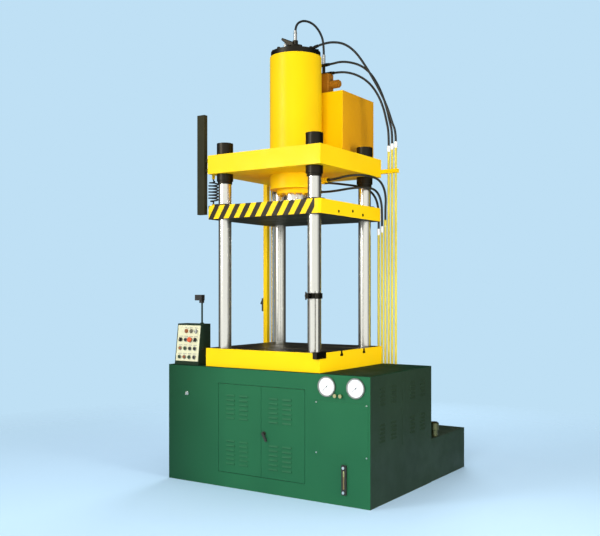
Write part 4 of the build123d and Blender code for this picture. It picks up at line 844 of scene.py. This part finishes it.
dressed(
    "tank_valve", orange_enamel, 0.0012, 2,
    [(black_steel, tee_pipe), (bright_steel, tee_union)],
)
dressed("stop_rods", chrome, 0.0008, 2, [(black_steel, corner_block)])
dressed("column_clamp", black_steel, 0.0012)
dressed("clamp_handle", black_steel, 0.0006)
dressed("switch_rail", black_enamel, 0.0012)
# The cabinet's sides get the darker green as painted shade; its top gets the darker top green as painted
# shade.
dressed("cabinet_shell", green_enamel, 0.0010, 2, [(dark_green_and_side_shade, cabinet_side)])
dressed("cabinet_top", shaded_top_green, 0.0010)
dressed("oil_tank", dark_green_and_side_shade, 0.0015)
dressed("access_panel", green_enamel, 0.0006, 2, [(bright_steel, panel_screws)])
dressed("door_left", green_enamel, 0.0006)
dressed("door_right", green_enamel, 0.0006)
dressed("console_body", dark_green_and_side_shade, 0.0008, 2, [(black_plastic, stalk_switch)])
bezel_foot = 0.0012
bezel_top = 0.0072
dressed("console_panel", cream_enamel, 0.0006, 2, [
    (bezel_steel, standing_out(bezel_foot)),
    (brown_lens, lamp(1, 3, 0.020, bezel_foot)),
    (grey_lens, lamp(2, 3, 0.020, bezel_foot)),
    (brown_lens, lamp(0, 1, 0.0135, bezel_top)),
])
dressed(
    "gauges", bezel_steel, 0.0008, 2,
    [(white_dial, dial_floor), (black_steel, gauge_valves)],
)
dressed(
    "level_gauge", black_plastic, 0.0006, 2,
    [(bright_steel, level_screws), (level_glass, level_floor)],
)
dressed("motor", grey_enamel, 0)
dressed("pump", grey_enamel, 0.001)
dressed("manifold", black_steel, 0.001)
dressed("coupling", bright_steel, 0.0006)
dressed("base_frame", black_enamel, 0.001)
dressed("breather_cap", aged_brass, 0.0006)
dressed("door_handle", black_plastic, 0.0006)
dressed("isolator_knob", bright_steel, 0.0004)
dressed("needle_left", dial_ink, 0)
dressed("needle_right", dial_ink, 0)
dressed("valve_knob_left", brass, 0.0004)
dressed("valve_knob_right", brass, 0.0004)
dressed("key_switch", bright_steel, 0.0004)
dressed("stop_button", red_plastic, 0.0006)
for node in ("selector_mode", "selector_speed", "button_inch", "button_left_cycle", "button_eject"):
    dressed(node, black_plastic, 0.0005)
for node in ("button_pump_start", "button_down", "button_up"):
    dressed(node, green_plastic, 0.0005)
dressed("button_pump_stop", black_plastic, 0.0005)
dressed("button_pressure", brown_lens, 0.0005)


# Gauge dials: ticks, generic numbers, glass and the flange's screws
dial_front = -0.5062
scale_start = 225
scale_sweep = 270
scale_steps = 50
number_steps = 5
tick_depth = 0.0002
tick_outer = 0.0550
long_tick_inner = 0.0455
long_tick_width = 0.0011
short_tick_inner = 0.0495
short_tick_width = 0.0006
number_size = 0.0095
number_radius = 0.0375
glass_seat = -0.5088
glass_profile = (
    (0.0, 0.0615), (0.0006, 0.0620), (0.0014, 0.0610), (0.0020, 0.0540),
    (0.0024, 0.0400), (0.0026, 0.0200), (0.00265, 0.0040),
)
screw_seat = -0.5118
screw_circle = 0.0665
lower_screw_turns = (210, 330)
screw_profile = ((0.0, 0.0032), (0.0012, 0.0032), (0.0018, 0.0026), (0.0018, 0.0015), (0.0006, 0.0012))


def dial_tick(name, x, z, inner, width):
    """One tick at three o'clock of a dial."""
    return plate(
        name,
        (x + inner, dial_front - tick_depth, z - width / 2),
        (x + tick_outer, dial_front, z + width / 2),
        inset=width * 0.12, rise=tick_depth / 4, face=(0, -1, 0),
    )


def turned_about(centre, turn):
    """A turn about an axis along Y through a place."""
    there = Matrix.Translation(centre)
    back = Matrix.Translation([-value for value in centre])
    return there @ Matrix.Rotation(-turn, 4, "Y") @ back


def dial_number(name, text, x, z):
    """One number, flat on the dial."""
    bpy.ops.object.select_all(action="DESELECT")
    bpy.ops.object.text_add(location=(x, dial_front, z), rotation=(math.pi / 2, 0, 0))
    number = bpy.context.active_object
    number.name = name
    number.data.body = text
    number.data.size = number_size
    number.data.align_x = "CENTER"
    number.data.align_y = "CENTER"
    number.data.extrude = tick_depth / 2
    number.data.resolution_u = 3
    bpy.ops.object.convert(target="MESH")
    number = bpy.context.active_object
    settle(number)
    return number


for side, (x, z) in zip(("left", "right"), gauge_places):
    long_tick = dial_tick("long_tick", x, z, long_tick_inner, long_tick_width)
    short_tick = dial_tick("short_tick", x, z, short_tick_inner, short_tick_width)
    marks = []
    for step in range(scale_steps + 1):
        turn = math.radians(scale_start - scale_sweep * step / scale_steps)
        tick = copy_of(short_tick if step % number_steps else long_tick, f"tick_{side}_{step}")
        tick.data.transform(turned_about((x, 0, z), turn))
        marks.append(tick)
        if step % (2 * number_steps) == 0:
            marks.append(dial_number(
                f"number_{side}_{step}", str(step),
                x + number_radius * math.cos(turn), z + number_radius * math.sin(turn),
            ))
    bpy.data.objects.remove(long_tick)
    bpy.data.objects.remove(short_tick)
    dial_marks = joined("dial_marks_" + side, marks)
    give(dial_marks, "frame", dial_ink)

    glass = turned("gauge_glass_" + side, glass_profile, (x, glass_seat, z), (0, -1, 0), 64)
    weigh(glass, 60)
    give(glass, "frame", dial_glass)

    top_screw = (x, screw_seat, z + screw_circle)
    screw = turned("gauge_screws_" + side, screw_profile, top_screw, (0, -1, 0), 12)
    shifts = []
    for turn in lower_screw_turns:
        across = screw_circle * math.cos(math.radians(turn))
        up = screw_circle * math.sin(math.radians(turn)) - screw_circle
        shifts.append((across, 0, up))
    repeated(screw, shifts)
    weigh(screw, 40)
    give(screw, "frame", black_steel)


# Level tube in its frame
tube_profile = ((0.0, 0.0050), (0.0010, 0.0062), (0.1240, 0.0062), (0.1250, 0.0050))
tube_foot = (level_x, -0.5135, 0.1175)
tube = turned("level_tube", tube_profile, tube_foot, (0, 0, 1), 20)
weigh(tube, 50)
give(tube, "frame", level_glass)


# Console: bare plates over the controls, marks on the selector knobs, and the side latch
label_width = 0.036
label_height = 0.008
label_thickness = 0.0007
label_raise = 0.0265
bare_place = (3, 0)
labels = []
for row, up in enumerate(row_places):
    for column, across in enumerate(column_places):
        if (row, column) == bare_place:
            continue
        label = plate(
            f"label_{row}_{column}",
            (-label_width / 2, -label_height / 2, 0), (label_width / 2, label_height / 2, label_thickness),
            inset=0.0008, rise=0.0002,
        )
        label.location = on_console(across, up + label_raise, 0)
        label.rotation_euler = (math.pi / 2 - console_tilt, 0, 0)
        settle(label)
        labels.append(label)
label_plates = joined("label_plates", labels)
weigh(label_plates)
give(label_plates, "frame", pale_plate)

mark_half_width = 0.0008
mark_length = 0.0125
mark_thickness = 0.0005
selector_row = 2
selector_top = 0.0252
for node, column in (("selector_mode", 0), ("selector_speed", 3)):
    mark = plate(
        node + "_mark", (-mark_half_width, 0.0, 0.0), (mark_half_width, mark_length, mark_thickness),
        inset=0.0002, rise=0.0001,
    )
    mark.location = on_console(column_places[column], row_places[selector_row], selector_top)
    mark.rotation_euler = (math.pi / 2 - console_tilt, 0, 0)
    settle(mark)
    weigh(mark)
    give(mark, node, white_mark)

latch_profile = (
    (0.0, 0.0105), (0.0022, 0.0105), (0.0032, 0.0095), (0.0032, 0.0075), (0.0095, 0.0068), (0.0105, 0.0058),
)
latch_place = on_console(0.1205, 0.128, -0.035)
latch = turned("console_latch", latch_profile, latch_place, (1, 0, 0), 20)
weigh(latch, 40)
give(latch, "frame", black_plastic)


# Louvres and seam on the right side
side_x = 0.933
louvre_reach = 0.007
louvre_width = 0.074
louvre_height = 0.017
louvre_pitch = 0.028
louvre_columns = (-0.325, -0.150, 0.155, 0.328)
louvre_starts = (0.430, 0.685)
louvres_each = 5
louvre_edge = 0.0025
louvre_middle = louvre_height / 2
louvre_top_back = 0.82 * louvre_reach
louvre_top_drop = 0.001
louvre_mouth_share = 0.90

hood = plate(
    "side_louvres",
    (side_x - 0.001, -louvre_width / 2, 0), (side_x + louvre_reach, louvre_width / 2, louvre_height),
    inset=louvre_edge, face=(1, 0, 0),
)
pick(hood, "vertices", lambda place, normal: place.x > side_x and place.z > louvre_middle)
bpy.ops.transform.translate(value=(-louvre_top_back, 0, -louvre_top_drop))
done()
pick(hood, "vertices", lambda place, normal: place.x > side_x and place.z < louvre_middle)
bpy.ops.transform.resize(value=(1, louvre_mouth_share, 1), center_override=(side_x, 0, 0))
done()
hood.location = (0, louvre_columns[0], louvre_starts[0])
settle(hood)
hood_shifts = []
for across in louvre_columns:
    for start in louvre_starts:
        for step in range(louvres_each):
            shift = (0, across - louvre_columns[0], start - louvre_starts[0] + step * louvre_pitch)
            if shift != (0, 0, 0):
                hood_shifts.append(shift)
repeated(hood, hood_shifts)
soften(hood, 0.0008, 2, 30)
weigh(hood)
# Side louvres in the darker green of the sides: painted shade.
give(hood, "frame", dark_green_and_side_shade)
# The louvres' undersides take black enamel: painted shade in the louvre mouths.
add_finishes(hood, [(black_enamel, faces_down)])

seam_half_width = 0.014
seam_bottom = 0.368
seam_top = 0.892
seam = plate(
    "side_seam",
    (side_x - 0.001, -seam_half_width, seam_bottom), (side_x + 0.0012, seam_half_width, seam_top),
    inset=0.003, rise=0.0006, face=(1, 0, 0),
)
soften(seam, 0.0004, 1)
weigh(seam)
# The seam in the darker green of the sides: painted shade.
give(seam, "frame", dark_green_and_side_shade)


# Rear cover with its louvres and screws
rear_y = 0.491
rear_face = rear_y + 0.0020
rear_cover_low = (-0.560, rear_y - 0.001, 0.160)
rear_cover_high = (0.340, rear_face, 0.780)
rear_plate = plate("rear_cover", rear_cover_low, rear_cover_high, inset=0.006, rise=0.0008, face=(0, 1, 0))
soften(rear_plate, 0.0006, 1)
weigh(rear_plate)
# The rear cover in the darker green of the sides: painted shade.
give(rear_plate, "frame", dark_green_and_side_shade)

rear_hood_face = rear_y + 0.0100
rear_hood_back = 0.0066
rear_hood_first = (-0.400, 0, 0.560)
rear_hood_across = 0.193
rear_hood_columns = 4
rear_hoods_each = 6
rear_hood = plate(
    "rear_louvres",
    (-louvre_width / 2, rear_face, 0), (louvre_width / 2, rear_hood_face, louvre_height),
    inset=louvre_edge, face=(0, 1, 0),
)
rear_middle = (rear_face + rear_hood_face) / 2
pick(rear_hood, "vertices", lambda place, normal: place.y > rear_middle and place.z > louvre_middle)
bpy.ops.transform.translate(value=(0, -rear_hood_back, -louvre_top_drop))
done()
rear_hood.location = rear_hood_first
settle(rear_hood)
rear_shifts = []
for column in range(rear_hood_columns):
    for step in range(rear_hoods_each):
        if column or step:
            rear_shifts.append((rear_hood_across * column, 0, louvre_pitch * step))
repeated(rear_hood, rear_shifts)
soften(rear_hood, 0.0008, 2, 30)
weigh(rear_hood)
# The rear louvres in the darker green of the sides: painted shade.
give(rear_hood, "frame", dark_green_and_side_shade)

rear_screw_profile = ((0.0, 0.0060), (0.0020, 0.0060), (0.0032, 0.0048), (0.0032, 0.0026), (0.0014, 0.0022))
rear_screw_first = (-0.545, rear_y + 0.0022, 0.176)
rear_screw_across = 0.435
rear_screw_up = 0.294
rear_screw = turned("rear_screws", rear_screw_profile, rear_screw_first, (0, 1, 0), 12)
repeated(rear_screw, [
    (column * rear_screw_across, 0, row * rear_screw_up)
    for row, columns in ((0, (1, 2)), (1, (0, 2)), (2, (0, 1, 2))) for column in columns
])
weigh(rear_screw, 40)
give(rear_screw, "frame", bright_steel)


# Small fasteners: stud on the cover, plugs in the platen's side
stud_profile = (
    (0.0, 0.0130), (0.010, 0.0130), (0.011, 0.0115), (0.011, 0.0075), (0.030, 0.0075), (0.030, 0.0120),
    (0.041, 0.0120), (0.042, 0.0105), (0.042, 0.0070), (0.050, 0.0065), (0.052, 0.0050),
)
stud_foot = (-0.020, -0.118, 3.3468)
stud = turned("cover_stud", stud_profile, stud_foot, (0, 0, 1), 18)
weigh(stud, 40)
give(stud, "frame", bright_steel)

plug_profile = ((-0.002, 0.0110), (0.0015, 0.0110), (0.0025, 0.0100), (0.0025, 0.0056), (0.0004, 0.0050))
plug_first = (0.513, -0.206, 2.062)
plug_shifts = [(0, 0.207, 0.017), (0, 0.364, -0.001)]
plug = turned("platen_plugs", plug_profile, plug_first, (1, 0, 0), 16)
repeated(plug, plug_shifts)
weigh(plug, 40)
give(plug, "slide", black_steel)


# Floor that fades into the pale backdrop
backdrop = (0.521, 0.745, 0.913)
floor_radius = 9
floor_middle = (0.1, 0.2, 0)
floor_near = 1.6
floor_far = 5.0
floor = begin(
    bpy.ops.mesh.primitive_circle_add, "studio_floor",
    vertices=96, radius=floor_radius, fill_type="NGON", location=floor_middle,
)
settle(floor)
floor_finish = Finish("studio_floor", (0.52, 0.74, 0.95), 0.9)
floor_finish.shader.inputs["Specular IOR Level"].default_value = 0.05
floor.data.materials.append(floor_finish.material)
distance = floor_finish.nodes.new("ShaderNodeVectorMath")
distance.operation = "LENGTH"
floor_finish.join(floor_finish.place, distance.inputs[0])
fade = floor_finish.span(distance.outputs["Value"], floor_near, floor_far)
clear = floor_finish.nodes.new("ShaderNodeBsdfTransparent")
blend = floor_finish.nodes.new("ShaderNodeMixShader")
floor_finish.join(fade, blend.inputs[0])
floor_finish.join(floor_finish.shader.outputs[0], blend.inputs[1])
floor_finish.join(clear.outputs[0], blend.inputs[2])
floor_finish.join(blend.outputs[0], floor_finish.nodes["Material Output"].inputs["Surface"])


# Backdrop and studio light: soft all round, and a bright front for what mirrors it
world = bpy.data.worlds.new("studio")
bpy.context.scene.world = world
world.use_nodes = True
sky = world.node_tree.nodes
wires = world.node_tree.links
seen = sky["Background"]
seen.inputs["Color"].default_value = (*backdrop, 1)
seen.inputs["Strength"].default_value = 1.0
soft = sky.new("ShaderNodeBackground")
soft.inputs["Color"].default_value = (0.97, 0.98, 1.0, 1)
soft.inputs["Strength"].default_value = 0.35
way = sky.new("ShaderNodeTexCoord")


def sky_span(direction, low, high, out_low, out_high):
    """Brightness that rises with how far a ray looks along a direction."""
    dot = sky.new("ShaderNodeVectorMath")
    dot.operation = "DOT_PRODUCT"
    dot.inputs[1].default_value = direction
    wires.new(way.outputs["Generated"], dot.inputs[0])
    span = sky.new("ShaderNodeMapRange")
    span.inputs["From Min"].default_value = low
    span.inputs["From Max"].default_value = high
    span.inputs["To Min"].default_value = out_low
    span.inputs["To Max"].default_value = out_high
    wires.new(dot.outputs["Value"], span.inputs["Value"])
    return span.outputs["Result"]


front = sky_span((0.40, -0.917, 0), -0.15, 0.65, 0.05, 0.92)
height = sky_span((0, 0, 1), 0.25, 0.85, 1.0, 0.35)
both = sky.new("ShaderNodeMath")
both.operation = "MULTIPLY"
wires.new(front, both.inputs[0])
wires.new(height, both.inputs[1])
mirrored = sky.new("ShaderNodeBackground")
mirrored.inputs["Color"].default_value = (0.95, 0.96, 0.92, 1)
wires.new(both.outputs["Value"], mirrored.inputs["Strength"])
rays = sky.new("ShaderNodeLightPath")
lit = sky.new("ShaderNodeMixShader")
wires.new(rays.outputs["Is Glossy Ray"], lit.inputs[0])
wires.new(soft.outputs[0], lit.inputs[1])
wires.new(mirrored.outputs[0], lit.inputs[2])
shown = sky.new("ShaderNodeMixShader")
wires.new(rays.outputs["Is Camera Ray"], shown.inputs[0])
wires.new(lit.outputs[0], shown.inputs[1])
wires.new(seen.outputs[0], shown.inputs[2])
wires.new(shown.outputs[0], sky["World Output"].inputs["Surface"])


def softbox(name, place, aim, width, height, power, colour, spread=180, mirrored=False):
    """A rectangular light aimed at a place; a mirrored one also shows in glossy faces."""
    data = bpy.data.lights.new(name, "AREA")
    data.shape = "RECTANGLE"
    data.size = width
    data.size_y = height
    data.energy = power
    data.color = colour
    data.spread = math.radians(spread)
    box = bpy.data.objects.new(name, data)
    box.location = place
    box.rotation_mode = "QUATERNION"
    box.rotation_quaternion = (Vector(aim) - Vector(place)).to_track_quat("-Z", "Y")
    box.visible_camera = False
    box.visible_glossy = mirrored
    bpy.context.scene.collection.objects.link(box)
    return box


softbox("key_softbox", (-2.6, -5.2, 3.6), (0, 0, 1.7), 1.6, 2.8, 155, (1.0, 0.99, 0.96), mirrored=True)
softbox("front_softbox", (2.2, -5.8, 3.0), (0, 0, 1.7), 2.4, 2.4, 205, (1.0, 0.99, 0.95))
softbox("right_softbox", (5.2, -1.0, 1.6), (0.3, 0, 0.8), 1.6, 2.0, 58, (1.0, 0.93, 0.82), spread=100)
softbox("front_fill", (2.1, -3.0, 0.4), (0.8, -0.5, 0.5), 1.2, 0.8, 22, (1.0, 1.0, 0.98))
softbox("top_softbox", (0, 0.4, 6.6), (0, 0, 0), 3.2, 3.2, 60, (0.97, 0.98, 1.0))
softbox("rear_softbox", (-2.2, 6.4, 3.0), (0, 0.4, 1.2), 3.0, 3.0, 260, (0.98, 0.99, 1.0))
